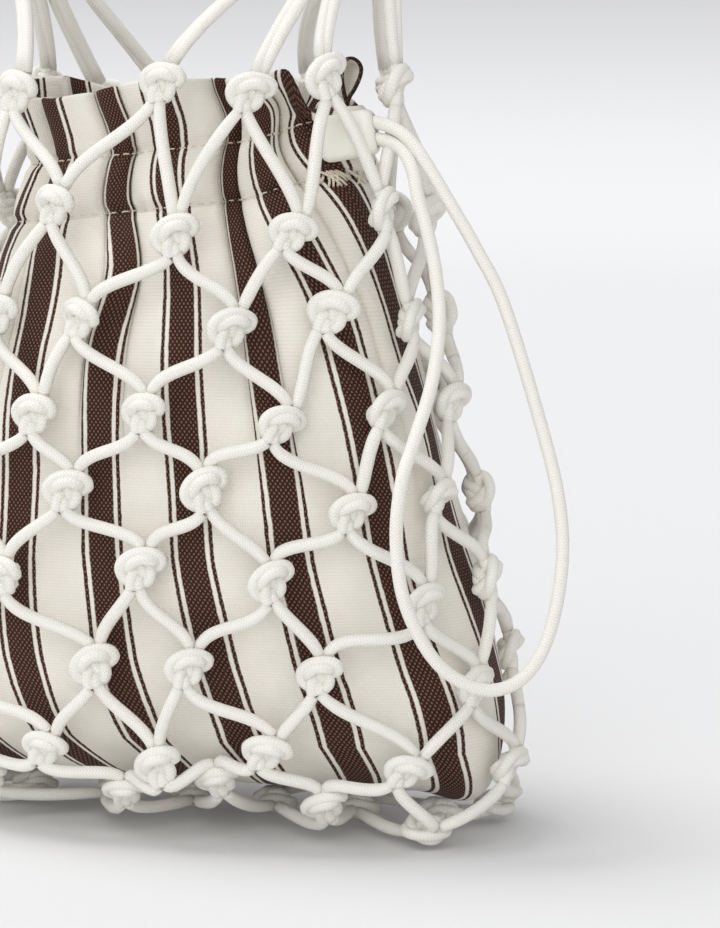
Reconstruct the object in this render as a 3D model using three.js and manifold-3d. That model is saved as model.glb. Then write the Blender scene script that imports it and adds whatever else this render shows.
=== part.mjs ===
// A knot bag: a striped canvas drawstring pouch carried in a net of knotted white cord.
// Millimetres, +Z up. The origin is on the floor under the middle of the bag, the front faces -Y.
import * as THREE from 'three';
import { ConvexHull } from 'three/addons/math/ConvexHull.js';
import { ConvexGeometry } from 'three/addons/geometries/ConvexGeometry.js';
import { ParametricGeometry } from 'three/addons/geometries/ParametricGeometry.js';
import { mergeVertices } from 'three/addons/utils/BufferGeometryUtils.js';
import Module from 'manifold-3d';

const GAP = 0.3;
const CORD_DIAMETER = 4.3;
const SECTION_POWER = 2.4;

// Canvas pouch. Each row is one level of the outer face: its height, its half width and half depth,
// and how far the gathers stand in and out there.
const CANVAS_WALL = 1.8;
const PLEATS = 15;
const POUCH_COLUMNS = 4 * PLEATS;
const RIM_HEIGHT = 247;
const RIM_WAVES = 5;
const RIM_WAVE_HEIGHT = 3.5;
const RIM_WAVE_FROM = 225;
const POUCH_LEVELS = [
  { height: 14, half_width: 84, half_depth: 8, pleat: 0 },
  { height: 20, half_width: 99, half_depth: 26, pleat: 0 },
  { height: 33, half_width: 105, half_depth: 39, pleat: 0 },
  { height: 58, half_width: 104, half_depth: 46, pleat: 0 },
  { height: 95, half_width: 95, half_depth: 49, pleat: 0 },
  { height: 142, half_width: 83, half_depth: 48, pleat: 0.5 },
  { height: 172, half_width: 72, half_depth: 43, pleat: 1.0 },
  { height: 190, half_width: 65, half_depth: 37, pleat: 1.8 },
  { height: 203, half_width: 60, half_depth: 29, pleat: 2.6 },
  { height: 222, half_width: 54, half_depth: 22, pleat: 2.8 },
  { height: RIM_HEIGHT, half_width: 59, half_depth: 25, pleat: 3.6 },
];

// Net. Each row is one ring of knots: its height, the half width and half depth of the ring through
// the knots' centres, how far the ring is turned in columns, and the reach of a knot along its cords.
const NET_COLUMNS = 12;
const SIDE_COLUMN = 3.5;
const KNOT_HALF_THICKNESS = 6.2;
const FOOT_RADIUS = 4.5;
const PARTING_EASE = 1.15;
const CORD_SIDES = 6;
const NET_ROWS = [
  { height: 245, half_width: 74, half_depth: 43, turn: -0.5, reach: 8.5 },
  { height: 203, half_width: 80, half_depth: 50, turn: -0.32, reach: 7 },
  { height: 172, half_width: 84, half_depth: 53, turn: -0.15, reach: 7 },
  { height: 142, half_width: 91, half_depth: 57, turn: -0.1, reach: 7 },
  { height: 115, half_width: 98, half_depth: 58, turn: -0.05, reach: 7 },
  { height: 88, half_width: 105, half_depth: 58, turn: 0, reach: 7 },
  { height: 58, half_width: 110, half_depth: 56, turn: 0, reach: 7 },
  { height: 29, half_width: 113, half_depth: 53, turn: -0.08, reach: 7 },
  { height: 17, half_width: 106, half_depth: 41, turn: -0.05, reach: 7 },
];
// Knots that sit away from their even place: along the ring towards the left, and up.
const KNOT_SHIFTS = [
  { row: 0, column: 0, along: -4, up: 1 },
  { row: 0, column: 1, along: -6, up: -3 },
  { row: 0, column: 2, along: 3, up: 4 },
  { row: 0, column: 3, along: 5, up: 0 },
  { row: 0, column: 6, along: -20, up: -6 },
  { row: 0, column: 7, along: -12, up: -5 },
  { row: 0, column: 10, along: 7, up: 0 },
  { row: 0, column: 11, along: 14, up: -1 },
  { row: 1, column: 11, along: 4, up: 5 },
  { row: 1, column: 0, along: -2, up: -4 },
  { row: 1, column: 1, along: -4, up: -3 },
  { row: 1, column: 2, along: 0, up: 4 },
  { row: 2, column: 0, along: 5, up: 0 },
  { row: 2, column: 1, along: -8, up: -2 },
  { row: 2, column: 2, along: -3, up: 3 },
  { row: 2, column: 3, along: 4, up: -1 },
  { row: 2, column: 4, along: 6, up: -1 },
  { row: 3, column: 11, along: -3, up: -1 },
  { row: 3, column: 0, along: -1, up: 1 },
  { row: 3, column: 1, along: -5, up: -2 },
  { row: 3, column: 2, along: 1, up: 2 },
  { row: 3, column: 3, along: 4, up: 1 },
  { row: 4, column: 0, along: 2, up: 2 },
  { row: 4, column: 1, along: -2, up: 4 },
  { row: 4, column: 2, along: -6, up: -3 },
  { row: 4, column: 3, along: 5, up: 0 },
  { row: 4, column: 4, along: 0, up: -4 },
  { row: 5, column: 0, along: -4, up: 5 },
  { row: 5, column: 1, along: -2, up: 2 },
  { row: 5, column: 2, along: -7, up: -6 },
  { row: 5, column: 3, along: 7, up: -1 },
  { row: 6, column: 0, along: -10, up: 2 },
  { row: 6, column: 1, along: 4, up: 3 },
  { row: 6, column: 2, along: 7, up: 2 },
  { row: 6, column: 3, along: 0, up: -4 },
  { row: 7, column: 11, along: -10, up: 2 },
  { row: 7, column: 0, along: -4, up: -1 },
  { row: 7, column: 1, along: 6, up: 5 },
  { row: 7, column: 2, along: 7, up: -1 },
  { row: 7, column: 3, along: 10, up: -4 },
  { row: 8, column: 0, along: -10, up: -1 },
  { row: 8, column: 1, along: -1, up: 5 },
  { row: 8, column: 2, along: 5, up: -2 },
  { row: 8, column: 3, along: 14, up: -10.5 },
  { row: 8, column: 4, along: 6, up: -10.5 },
  { row: 8, column: 9, along: 0, up: -10.5 },
  { row: 8, column: 10, along: 0, up: -10.5 },
];
// The base is closed by one line of knots under the middle.
const BASE_KNOTS = 7;
const BASE_SPACING = 29;
const BASE_HEIGHT = 6.5;
const BASE_REACH = 7;

// Handle: pairs of cord rise from the top knots to a whipped gather on each side, and a wound grip
// arches from gather to gather.
const GATHER_X = 66;
const GATHER_BOTTOM = 316;
const WHIPPING_HEIGHT = 24;
const WHIPPING_RADIUS = 11;
const WHIPPING_NECK_RADIUS = 9.5;
const RISER_TOP_RADIUS = 6;
const RISER_SIDES = 6;
const RISER_FIRST_COLUMN = { right: 0, left: 6 };
const RISERS_PER_GATHER = 6;
const GRIP_RADIUS = 9;
const GRIP_RISE = 88;
const GRIP_STEPS = 28;
const GRIP_SIDES = 10;

// Drawstring: a stopper block at the right end of the casing and one hanging loop of cord.
const STOPPER = { length: 19, width: 11, height: 15, corner: 3.5, bevel: 1.5 };
const STOPPER_PLACE = new THREE.Vector3(61, -18.3, 230);
const STOPPER_TURN = new THREE.Euler(0, THREE.MathUtils.degToRad(-10), 0);
const STRAND_SPACING = 5.4;
const STRAND_WAY = new THREE.Vector3(0.977, -0.12, -0.18).normalize();
const STRAND_START = 1.3;
const STRAND_LEAD = 4;
const DRAWSTRING_STEPS = 49;
const DRAWSTRING_SIDES = 8;
const DRAWSTRING_ROUTE = [
  { x: 78.6, y: -19.5, z: 231.4 },
  { x: 83.2, y: -20.3, z: 227.6 },
  { x: 87.8, y: -20.8, z: 221.4 },
  { x: 95.5, y: -20.5, z: 209 },
  { x: 104, y: -19.5, z: 194.5 },
  { x: 113, y: -19, z: 177 },
  { x: 125, y: -20, z: 141 },
  { x: 132, y: -22, z: 116 },
  { x: 134, y: -25, z: 95 },
  { x: 131, y: -30, z: 73 },
  { x: 124, y: -36, z: 60 },
  { x: 113, y: -43, z: 57 },
  { x: 100, y: -50, z: 66 },
  { x: 91, y: -55, z: 85 },
  { x: 88, y: -55, z: 105 },
  { x: 89, y: -53, z: 123 },
  { x: 91.5, y: -47, z: 136 },
  { x: 94.5, y: -38, z: 153 },
  { x: 95, y: -31, z: 171 },
  { x: 92.8, y: -27.5, z: 187 },
  { x: 89.5, y: -26, z: 200.5 },
  { x: 86, y: -24.8, z: 211.5 },
  { x: 84, y: -23, z: 218.8 },
  { x: 81.4, y: -21.2, z: 223.5 },
  { x: 78.6, y: -19.8, z: 226.4 },
];

const CANVAS_COLOUR = 0xddd6cb;
const CORD_COLOUR = 0xe6e3d8;
const STOPPER_COLOUR = 0xe9e8e2;

const wasm = await Module();
wasm.setup();

// A rounded oval between an ellipse and a box, walked from the right side round the front.
class BagSection extends THREE.Curve {
  constructor(halfWidth, halfDepth) {
    super();
    this.halfWidth = halfWidth;
    this.halfDepth = halfDepth;
    this.arcLengthDivisions = 240;
  }

  getPoint(t, target = new THREE.Vector3()) {
    const angle = -2 * Math.PI * t;
    const bow = (value) => Math.sign(value) * Math.abs(value) ** (2 / SECTION_POWER);
    return target.set(this.halfWidth * bow(Math.cos(angle)), this.halfDepth * bow(Math.sin(angle)), 0);
  }

  normalAt(point) {
    const push = (value, half) => Math.sign(value) * Math.abs(value / half) ** (SECTION_POWER - 1) / half;
    return new THREE.Vector3(push(point.x, this.halfWidth), push(point.y, this.halfDepth), 0).normalize();
  }
}

const wrap = (value, count) => ((value % count) + count) % count;

// The pouch: up the outer face, over the rim and down the inner face, gathered in pleats at the top.
function pouchGeometry() {
  const outer = POUCH_LEVELS.map((level) => ({ ...level, inset: 0 }));
  const inner = POUCH_LEVELS.map((level) => ({ ...level, inset: CANVAS_WALL })).reverse();
  inner[inner.length - 1].height += CANVAS_WALL;
  const rows = [...outer, ...inner].map((row) => ({
    ...row,
    section: new BagSection(row.half_width - row.inset, row.half_depth - row.inset),
  }));
  const stacks = rows.length + 1;
  const place = (u, v, target) => {
    const step = Math.round(v * stacks);
    const row = rows[THREE.MathUtils.clamp(step - 1, 0, rows.length - 1)];
    if (step === 0 || step === stacks) {
      target.set(0, 0, row.height);
      return;
    }
    const share = wrap(-Math.round(u * POUCH_COLUMNS), POUCH_COLUMNS) / POUCH_COLUMNS;
    const point = row.section.getPointAt(share);
    const fold = row.pleat * Math.cos(2 * Math.PI * PLEATS * share);
    point.addScaledVector(row.section.normalAt(point), fold);
    const rise = Math.max(0, row.height - RIM_WAVE_FROM) / (RIM_HEIGHT - RIM_WAVE_FROM);
    point.z = row.height + rise * RIM_WAVE_HEIGHT * Math.sin(2 * Math.PI * RIM_WAVES * share);
    target.copy(point);
  };
  return new ParametricGeometry(place, POUCH_COLUMNS, stacks);
}

// One knot of a ring: its centre and the way it faces.
function ringKnot(row, column) {
  const { height, half_width, half_depth, turn, reach } = NET_ROWS[row];
  const section = new BagSection(half_width, half_depth);
  const along = column + (row % 2) / 2;
  const shift = KNOT_SHIFTS.find((entry) => entry.row === row && entry.column === column);
  const slide = (shift ? shift.along : 0) / section.getLength();
  const share = wrap((SIDE_COLUMN - along + turn) / NET_COLUMNS + slide, 1);
  const centre = section.getPointAt(share);
  const facing = section.normalAt(centre);
  centre.z = height + (shift ? shift.up : 0);
  return { centre, facing, reach, ports: [], ways: [] };
}

function baseKnot(place) {
  const x = (place - (BASE_KNOTS - 1) / 2) * BASE_SPACING;
  const centre = new THREE.Vector3(x, 0, BASE_HEIGHT);
  return { centre, facing: new THREE.Vector3(0, 0, -1), reach: BASE_REACH, ports: [], ways: [] };
}

// A ring of points round a direction, the end of a cord where it enters a knot.
function cordRing(centre, direction, sides, halfWidth, halfHeight, across) {
  const side = across.clone().addScaledVector(direction, -across.dot(direction)).normalize();
  const other = new THREE.Vector3().crossVectors(direction, side);
  return Array.from({ length: sides }, (_, i) => {
    const angle = (2 * Math.PI * (i + 0.5)) / sides;
    return centre.clone()
      .addScaledVector(side, halfWidth * Math.cos(angle))
      .addScaledVector(other, halfHeight * Math.sin(angle));
  });
}

// Cords that leave a knot close together part further out from it.
function reachAlong(knot, direction) {
  const angles = knot.ways.map((way) => way.angleTo(direction)).filter((angle) => angle > 1e-3);
  const parting = CORD_DIAMETER / 2 / Math.tan(Math.min(...angles) / 2);
  return Math.max(knot.reach, PARTING_EASE * parting);
}

// A growing mesh that cords and knots are sewn into.
class NetMesh {
  constructor() {
    this.points = [];
    this.triangles = [];
  }

  addRing(ring) {
    return ring.map((point) => {
      const entry = point.clone();
      entry.index = this.points.push(entry) - 1;
      return entry;
    });
  }

  addTube(from, to) {
    from.forEach((point, i) => {
      const next = (i + 1) % from.length;
      this.triangles.push(point.index, from[next].index, to[next].index);
      this.triangles.push(point.index, to[next].index, to[i].index);
    });
  }

  addCap(ring, flip) {
    for (let i = 1; i < ring.length - 1; i += 1) {
      const corners = [ring[0].index, ring[i].index, ring[i + 1].index];
      this.triangles.push(...(flip ? corners.reverse() : corners));
    }
  }

  // The knot's skin is the hull of its cord ends and its crown, open where each cord runs in.
  addKnot(rings, crown) {
    const openings = new Map();
    rings.forEach((ring, number) => ring.forEach((point) => openings.set(point, number)));
    const hull = new ConvexHull().setFromPoints([...rings.flat(), ...crown]);
    hull.faces.forEach((face) => {
      const corners = [face.edge.prev.head().point, face.edge.head().point, face.edge.next.head().point];
      const numbers = corners.map((point) => openings.get(point));
      const isOpening = numbers[0] !== undefined && numbers.every((number) => number === numbers[0]);
      if (!isOpening) {
        this.triangles.push(...corners.map((point) => point.index));
      }
    });
  }

  geometry() {
    const geometry = new THREE.BufferGeometry().setFromPoints(this.points);
    geometry.setIndex(this.triangles);
    return geometry;
  }
}

// All knots and the cords between them. Columns in front belong to one half, the rest to the other.
function buildNet() {
  const isFront = (column) => wrap(column + 2, NET_COLUMNS) < NET_COLUMNS / 2;
  const knots = NET_ROWS.map((_, row) => Array.from({ length: NET_COLUMNS }, (__, column) => ({
    ...ringKnot(row, column),
    half: isFront(column) ? 'front' : 'back',
  })));
  const base = Array.from({ length: BASE_KNOTS }, (_, place) => ({
    ...baseKnot(place),
    half: 'front',
  }));

  const cords = [];
  knots.slice(0, -1).forEach((ring, row) => ring.forEach((knot, column) => {
    const below = row % 2 === 0 ? [column - 1, column] : [column, column + 1];
    below.forEach((other) => cords.push([knot, knots[row + 1][wrap(other, NET_COLUMNS)]]));
  }));
  const lowest = knots[knots.length - 1];
  base.forEach((knot, place) => {
    const ends = new Set([place - 3, place - 2, 10 - place, 9 - place].map((c) => wrap(c, NET_COLUMNS)));
    ends.forEach((column) => cords.push([lowest[column], knot]));
  });

  const runs = cords.map(([upper, lower]) => {
    const direction = lower.centre.clone().sub(upper.centre).normalize();
    upper.ways.push(direction);
    lower.ways.push(direction.clone().negate());
    return { upper, lower, direction };
  });
  const meshes = { front: new NetMesh(), back: new NetMesh() };
  runs.forEach(({ upper, lower, direction }) => {
    const across = upper.facing.clone().add(lower.facing);
    const radius = CORD_DIAMETER / 2;
    const ringAt = (point) => cordRing(point, direction, CORD_SIDES, radius, radius, across);
    const start = upper.centre.clone().addScaledVector(direction, reachAlong(upper, direction));
    const back = direction.clone().negate();
    const end = lower.centre.clone().addScaledVector(back, reachAlong(lower, back));
    const startRing = meshes[upper.half].addRing(ringAt(start));
    const endRing = meshes[lower.half].addRing(ringAt(end));
    upper.ports.push(startRing);
    lower.ports.push(endRing);
    if (upper.half === lower.half) {
      meshes[upper.half].addTube(startRing, endRing);
      return;
    }
    const middle = start.clone().lerp(end, 0.5);
    const cutAbove = middle.clone().addScaledVector(direction, -GAP / 2);
    const cutBelow = middle.clone().addScaledVector(direction, GAP / 2);
    const aboveRing = meshes[upper.half].addRing(ringAt(cutAbove));
    meshes[upper.half].addTube(startRing, aboveRing);
    meshes[upper.half].addCap(aboveRing, false);
    const belowRing = meshes[lower.half].addRing(ringAt(cutBelow));
    meshes[lower.half].addTube(belowRing, endRing);
    meshes[lower.half].addCap(belowRing, true);
  });

  const risers = knots[0].map((knot, column) => addRiserSeat(meshes[knot.half], knot, column));
  [...knots.flat(), ...base].forEach((knot) => {
    const mesh = meshes[knot.half];
    mesh.addKnot(knot.ports, mesh.addRing(crownPoints(knot)));
  });
  return { front: meshes.front.geometry(), back: meshes.back.geometry(), risers };
}

// Points that fill a knot out: front and back, a flat foot on the floor, and the seat of a riser.
function crownPoints(knot) {
  const outward = knot.centre.clone().addScaledVector(knot.facing, KNOT_HALF_THICKNESS);
  const inward = knot.centre.clone().addScaledVector(knot.facing, -KNOT_HALF_THICKNESS);
  if (knot.centre.z > BASE_HEIGHT) {
    return [outward, inward, ...(knot.seat ?? [])];
  }
  const foot = new THREE.Vector3(knot.centre.x, knot.centre.y, 0);
  const down = new THREE.Vector3(0, 0, -1);
  const top = knot.centre.clone();
  top.z += KNOT_HALF_THICKNESS;
  return [top, ...cordRing(foot, down, CORD_SIDES, FOOT_RADIUS, FOOT_RADIUS, new THREE.Vector3(1, 0, 0))];
}

// The flat top of a top knot, where its pair of cords rises to the gather on its side.
function addRiserSeat(mesh, knot, column) {
  const side = wrap(column - RISER_FIRST_COLUMN.right, NET_COLUMNS) < RISERS_PER_GATHER ? 'right' : 'left';
  const gather = new THREE.Vector3(side === 'right' ? GATHER_X : -GATHER_X, 0, GATHER_BOTTOM);
  const direction = gather.clone().sub(knot.centre).normalize();
  const across = new THREE.Vector3().crossVectors(direction, knot.facing);
  const oval = (point, halfWidth) => cordRing(
    point, direction, RISER_SIDES, halfWidth, CORD_DIAMETER / 2, across,
  );
  const seat = knot.centre.clone().addScaledVector(direction, knot.reach);
  knot.seat = oval(seat, CORD_DIAMETER);
  const foot = oval(seat.clone().addScaledVector(direction, GAP), CORD_DIAMETER);
  const top = oval(gather.clone().addScaledVector(direction, RISER_TOP_RADIUS), CORD_DIAMETER * 0.8);
  return { side, geometry: new ConvexGeometry([...foot, ...top]) };
}

function toSolid(geometry) {
  const bare = geometry.clone();
  bare.deleteAttribute('normal');
  bare.deleteAttribute('uv');
  const merged = mergeVertices(bare, 1e-4);
  return new wasm.Manifold(new wasm.Mesh({
    numProp: 3,
    vertProperties: new Float32Array(merged.attributes.position.array),
    triVerts: new Uint32Array(merged.index.array),
  }));
}

function toGeometry(solid) {
  const mesh = solid.getMesh();
  const geometry = new THREE.BufferGeometry();
  geometry.setAttribute('position', new THREE.BufferAttribute(mesh.vertProperties, 3));
  geometry.setIndex(new THREE.BufferAttribute(mesh.triVerts, 1));
  return geometry;
}

// A gather: six pairs of cord run together into a short whipped barrel.
function gatherGeometry(side, risers) {
  const x = side === 'right' ? GATHER_X : -GATHER_X;
  const middle = WHIPPING_HEIGHT / 2;
  const profile = [
    new THREE.Vector2(0, -middle),
    new THREE.Vector2(WHIPPING_NECK_RADIUS, -middle),
    new THREE.Vector2(WHIPPING_RADIUS, -middle + 2),
    new THREE.Vector2(WHIPPING_RADIUS, middle - 2),
    new THREE.Vector2(WHIPPING_NECK_RADIUS, middle),
    new THREE.Vector2(0, middle),
  ];
  const barrel = new THREE.LatheGeometry(profile, GRIP_SIDES);
  barrel.rotateX(Math.PI / 2);
  barrel.translate(x, 0, GATHER_BOTTOM + middle);
  return toGeometry(risers.reduce((sum, riser) => sum.add(toSolid(riser)), toSolid(barrel)));
}

function polygon(radius, sides) {
  const corners = Array.from({ length: sides }, (_, i) => {
    const angle = (2 * Math.PI * i) / sides;
    return new THREE.Vector2(radius * Math.cos(angle), radius * Math.sin(angle));
  });
  return new THREE.Shape(corners);
}

function gripGeometry() {
  const foot = GATHER_BOTTOM + WHIPPING_HEIGHT + GAP;
  class Arch extends THREE.Curve {
    getPoint(t, target = new THREE.Vector3()) {
      const angle = Math.PI * t;
      return target.set(GATHER_X * Math.cos(angle), 0, foot + GRIP_RISE * Math.sin(angle));
    }
  }
  return new THREE.ExtrudeGeometry(polygon(GRIP_RADIUS, GRIP_SIDES), {
    steps: GRIP_STEPS,
    extrudePath: new Arch(),
  });
}

function stopperGeometry() {
  const { length, width, height, corner, bevel } = STOPPER;
  const round = corner - bevel;
  const up = height / 2 - bevel - round;
  const across = width / 2 - bevel - round;
  const outline = new THREE.Shape();
  outline.absarc(up, across, round, 0, Math.PI / 2);
  outline.absarc(-up, across, round, Math.PI / 2, Math.PI);
  outline.absarc(-up, -across, round, Math.PI, 1.5 * Math.PI);
  outline.absarc(up, -across, round, 1.5 * Math.PI, 2 * Math.PI);
  const block = new THREE.ExtrudeGeometry(outline, {
    depth: length - 2 * bevel,
    bevelSize: bevel,
    bevelThickness: bevel,
    bevelSegments: 1,
    curveSegments: 2,
  });
  block.translate(0, 0, bevel - length / 2);
  block.rotateY(Math.PI / 2);
  return block;
}

// The loop leaves the stopper's end face, hangs at the side and comes back to the same face.
function drawstringGeometry() {
  const fromStopper = (along, up) => new THREE.Vector3(STOPPER.length / 2, 0, up)
    .applyEuler(STOPPER_TURN)
    .add(STOPPER_PLACE)
    .addScaledVector(STRAND_WAY, along);
  const upper = STRAND_SPACING / 2;
  const route = new THREE.CatmullRomCurve3([
    fromStopper(STRAND_START, upper),
    fromStopper(STRAND_LEAD, upper),
    ...DRAWSTRING_ROUTE.map(({ x, y, z }) => new THREE.Vector3(x, y, z)),
    fromStopper(STRAND_LEAD, -upper),
    fromStopper(STRAND_START, -upper),
  ]);
  return new THREE.ExtrudeGeometry(polygon(CORD_DIAMETER / 2, DRAWSTRING_SIDES), {
    steps: DRAWSTRING_STEPS,
    extrudePath: route,
  });
}

const canvas = new THREE.MeshStandardMaterial({ color: CANVAS_COLOUR, roughness: 0.95, metalness: 0 });
const cord = new THREE.MeshStandardMaterial({ color: CORD_COLOUR, roughness: 0.8, metalness: 0 });
const smooth = new THREE.MeshStandardMaterial({ color: STOPPER_COLOUR, roughness: 0.45, metalness: 0 });

const bag = new THREE.Group();

function addPiece(name, geometry, material) {
  const mesh = new THREE.Mesh(geometry, material);
  mesh.name = name;
  bag.add(mesh);
  return mesh;
}

addPiece('pouch', pouchGeometry(), canvas);
const net = buildNet();
addPiece('net_front', net.front, cord);
addPiece('net_back', net.back, cord);
['right', 'left'].forEach((side) => {
  const pairs = net.risers.filter((riser) => riser.side === side).map((riser) => riser.geometry);
  addPiece(`gather_${side}`, gatherGeometry(side, pairs), cord);
});
addPiece('grip', gripGeometry(), cord);

const stopper = addPiece('stopper', stopperGeometry(), smooth);
stopper.position.copy(STOPPER_PLACE);
stopper.rotation.copy(STOPPER_TURN);
addPiece('drawstring', drawstringGeometry(), cord);

export default bag;
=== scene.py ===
# %% [markdown]
# # A knot bag in Blender
# The real bag is a striped canvas pouch that hangs in a net of knotted white cord. Its solids were
# drawn before this lesson starts, and they come in as a fixed frame in metres. A soft thing drawn as
# a solid looks like a toy, so nearly every solid gets a dressed piece here, of the same size and in
# the same place: cloth with gathers, cords that bend, knots that are wound.

# %% Load the imported frame
import math

import bpy
import numpy as np
from mathutils import Matrix, Vector
from mathutils.kdtree import KDTree


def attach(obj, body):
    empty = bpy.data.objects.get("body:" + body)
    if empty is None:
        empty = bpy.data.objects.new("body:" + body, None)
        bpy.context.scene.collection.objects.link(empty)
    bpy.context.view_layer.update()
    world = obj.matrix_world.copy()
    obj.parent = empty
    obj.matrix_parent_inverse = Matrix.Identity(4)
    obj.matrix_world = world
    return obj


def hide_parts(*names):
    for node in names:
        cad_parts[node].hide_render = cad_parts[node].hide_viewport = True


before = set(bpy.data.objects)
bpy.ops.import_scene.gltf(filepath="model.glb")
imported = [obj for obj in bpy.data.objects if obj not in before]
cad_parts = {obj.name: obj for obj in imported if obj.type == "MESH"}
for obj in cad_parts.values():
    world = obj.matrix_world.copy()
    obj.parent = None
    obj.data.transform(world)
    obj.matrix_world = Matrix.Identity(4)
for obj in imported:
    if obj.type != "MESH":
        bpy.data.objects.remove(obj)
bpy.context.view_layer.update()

MM = 0.001

# %% [markdown]
# ## The camera
# The picture was taken from a little to the right of the bag's front and from just above it, with a
# long lens. A camera could be turned by hand with angles, but a place and a point to look at say the
# same thing more plainly, and `to_track_quat` turns the two into a rotation.

# %% Place the camera
CAMERA_PLACE = Vector((376.2, -1033.7, 260)) * MM
CAMERA_AIM = Vector((53.3, 19.4, 119)) * MM
SENSOR_WIDTH = 36
LENS = 165

bpy.ops.object.select_all(action="DESELECT")
bpy.ops.object.camera_add(location=CAMERA_PLACE)
camera = bpy.context.object
camera.rotation_euler = (CAMERA_AIM - CAMERA_PLACE).to_track_quat("-Z", "Y").to_euler()
camera.data.sensor_fit = "HORIZONTAL"
camera.data.sensor_width = SENSOR_WIDTH
camera.data.lens = LENS
bpy.context.scene.camera = camera
print("camera at", tuple(round(v, 3) for v in camera.location), "lens", camera.data.lens)

# %% [markdown]
# ## Finishes
# A material is a small graph of nodes. Colours are picked as the hex values that a picture editor
# shows, but light adds up in linear numbers, so one function turns the first into the second. A
# second function fills a node's sockets with values or links them to other nodes, and a third adds a
# node with its settings, which keeps each graph readable.

# %% Helpers for materials
def linear(code):
    """An sRGB hex colour as linear red, green, blue and alpha."""
    parts = [int(code[i:i + 2], 16) / 255 for i in (1, 3, 5)]
    return tuple(c / 12.92 if c <= 0.04045 else ((c + 0.055) / 1.055) ** 2.4 for c in parts) + (1.0,)


def plug(tree, node, sockets):
    """Gives each input of a node a value, an output, or another node, which means its first output."""
    for key, value in sockets.items():
        if isinstance(value, bpy.types.Node):
            value = value.outputs[0]
        if isinstance(value, bpy.types.NodeSocket):
            tree.links.new(value, node.inputs[key])
        else:
            node.inputs[key].default_value = value


def add(tree, kind, sockets=None, **settings):
    """Adds a node with its settings, and fills its sockets."""
    node = tree.nodes.new("ShaderNode" + kind)
    for name, value in settings.items():
        setattr(node, name, value)
    plug(tree, node, sockets or {})
    return node


def new_finish(name):
    material = bpy.data.materials.new(name)
    material.use_nodes = True
    return material, material.node_tree, material.node_tree.nodes["Principled BSDF"]


print("a grey of #808080 is", round(linear("#808080")[0], 3), "in linear numbers")

# %% [markdown]
# ## Braided cord
# The net, the handle and the drawstring are all one white braided cord. Its sheath is plaited from
# flat bundles of fine yarn, which cross in rows of small chevrons and give the eye a soft, dull white
# with a faint herringbone. The chevrons are a bump, and their grooves are also coloured a darker white,
# which is painted shade. The pattern has to follow each cord, so it reads the cord's own UV map: the
# first number runs along the cord in metres and the second once round it.

# %% Braided cord
PLAIT_LENGTH = 1.0 * MM
PLAITS_ROUND = 9
PLAIT_SLANT = 1.6
PLAIT_DEPTH = 0.2 * MM
YARN_WIDTH = 1.1 * MM
YARN_SHARE = 0.5
HANDLED_PATCH = 45 * MM
HANDLED_SHARE = 0.6

braided_cord, tree, shader = new_finish("braided_cotton_cord")
cord_uv = add(tree, "UVMap", uv_map="cord")
cord_axes = add(tree, "SeparateXYZ", {0: cord_uv})
along = add(tree, "Math", {0: cord_axes.outputs[0], 1: PLAIT_LENGTH}, operation="DIVIDE")
around = add(tree, "Math", {0: cord_axes.outputs[1], 1: PLAITS_ROUND}, operation="MULTIPLY")
zigzag = add(tree, "Math", {0: around, 1: 0.5}, operation="PINGPONG")
chevron = add(tree, "Math", {0: zigzag, 1: PLAIT_SLANT, 2: along}, operation="MULTIPLY_ADD")
turn = add(tree, "Math", {0: chevron, 1: 2 * math.pi}, operation="MULTIPLY")
ridge = add(tree, "Math", {0: turn}, operation="SINE")
ridge_share = add(tree, "MapRange", {0: ridge, 1: -1.0, 2: 0.4}, interpolation_type="SMOOTHSTEP")
from_arm = add(tree, "Math", {0: zigzag, 1: 0.25}, operation="SUBTRACT")
arm_far = add(tree, "Math", {0: from_arm}, operation="ABSOLUTE")
arm_share = add(tree, "MapRange", {0: arm_far, 1: 0.16, 2: 0.25, 3: 1.0, 4: 0.45})
plait_ridge_and_shade = add(tree, "Math", {0: ridge_share, 1: arm_share}, operation="MULTIPLY")
cord_place = add(tree, "TexCoord").outputs["Object"]
yarn = add(tree, "TexNoise", {"Vector": cord_place, "Scale": 1 / YARN_WIDTH, "Detail": 3.0})
handled = add(tree, "TexNoise", {"Vector": cord_place, "Scale": 1 / HANDLED_PATCH, "Detail": 2.0})
cord_worn_share = add(tree, "Math", {0: handled, 1: HANDLED_SHARE}, operation="MULTIPLY")
# Where the plait is low it is coloured a darker white: painted shade in the grooves of the braid.
cord_tone_and_groove_shade = add(tree, "MixRGB", {0: plait_ridge_and_shade, 1: linear("#E4E0D5"), 2: linear("#FBF9F1")})
# The handled patches are random wear; under them the painted groove shade stays.
cord_worn_and_groove_shade = add(tree, "MixRGB", {0: cord_worn_share, 1: cord_tone_and_groove_shade, 2: linear("#F7F5ED")})
cord_height = add(tree, "Math", {0: yarn, 1: YARN_SHARE, 2: plait_ridge_and_shade}, operation="MULTIPLY_ADD")
cord_bump = add(tree, "Bump", {"Strength": 0.6, "Distance": PLAIT_DEPTH, "Height": cord_height})
plug(tree, shader, {
    "Base Color": cord_worn_and_groove_shade, "Normal": cord_bump, "Roughness": 0.78, "Sheen Weight": 0.15,
})
print("made", braided_cord.name, "with", len(tree.nodes), "nodes")

# %% [markdown]
# ## Cords as tubes
# A cord can be a Blender curve with a round bevel, but a curve gives no UV map that a braid could
# follow. So a cord is made as a mesh: rings of points are set square to a path, each turned as
# little as possible from the one before, and neighbouring rings are joined by quads.

# %% A workbench that collects cords into one mesh
def unit(vector):
    vector = np.asarray(vector, float)
    return vector / np.linalg.norm(vector)


def run_along(path):
    """How far along a path each of its points lies."""
    return np.concatenate([[0], np.cumsum(np.linalg.norm(np.diff(path, axis=0), axis=1))])


# No cord sets out along this way, so it can tell the first ring how to turn.
ODD_WAY = (0.31, 0.52, 0.79)


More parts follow.
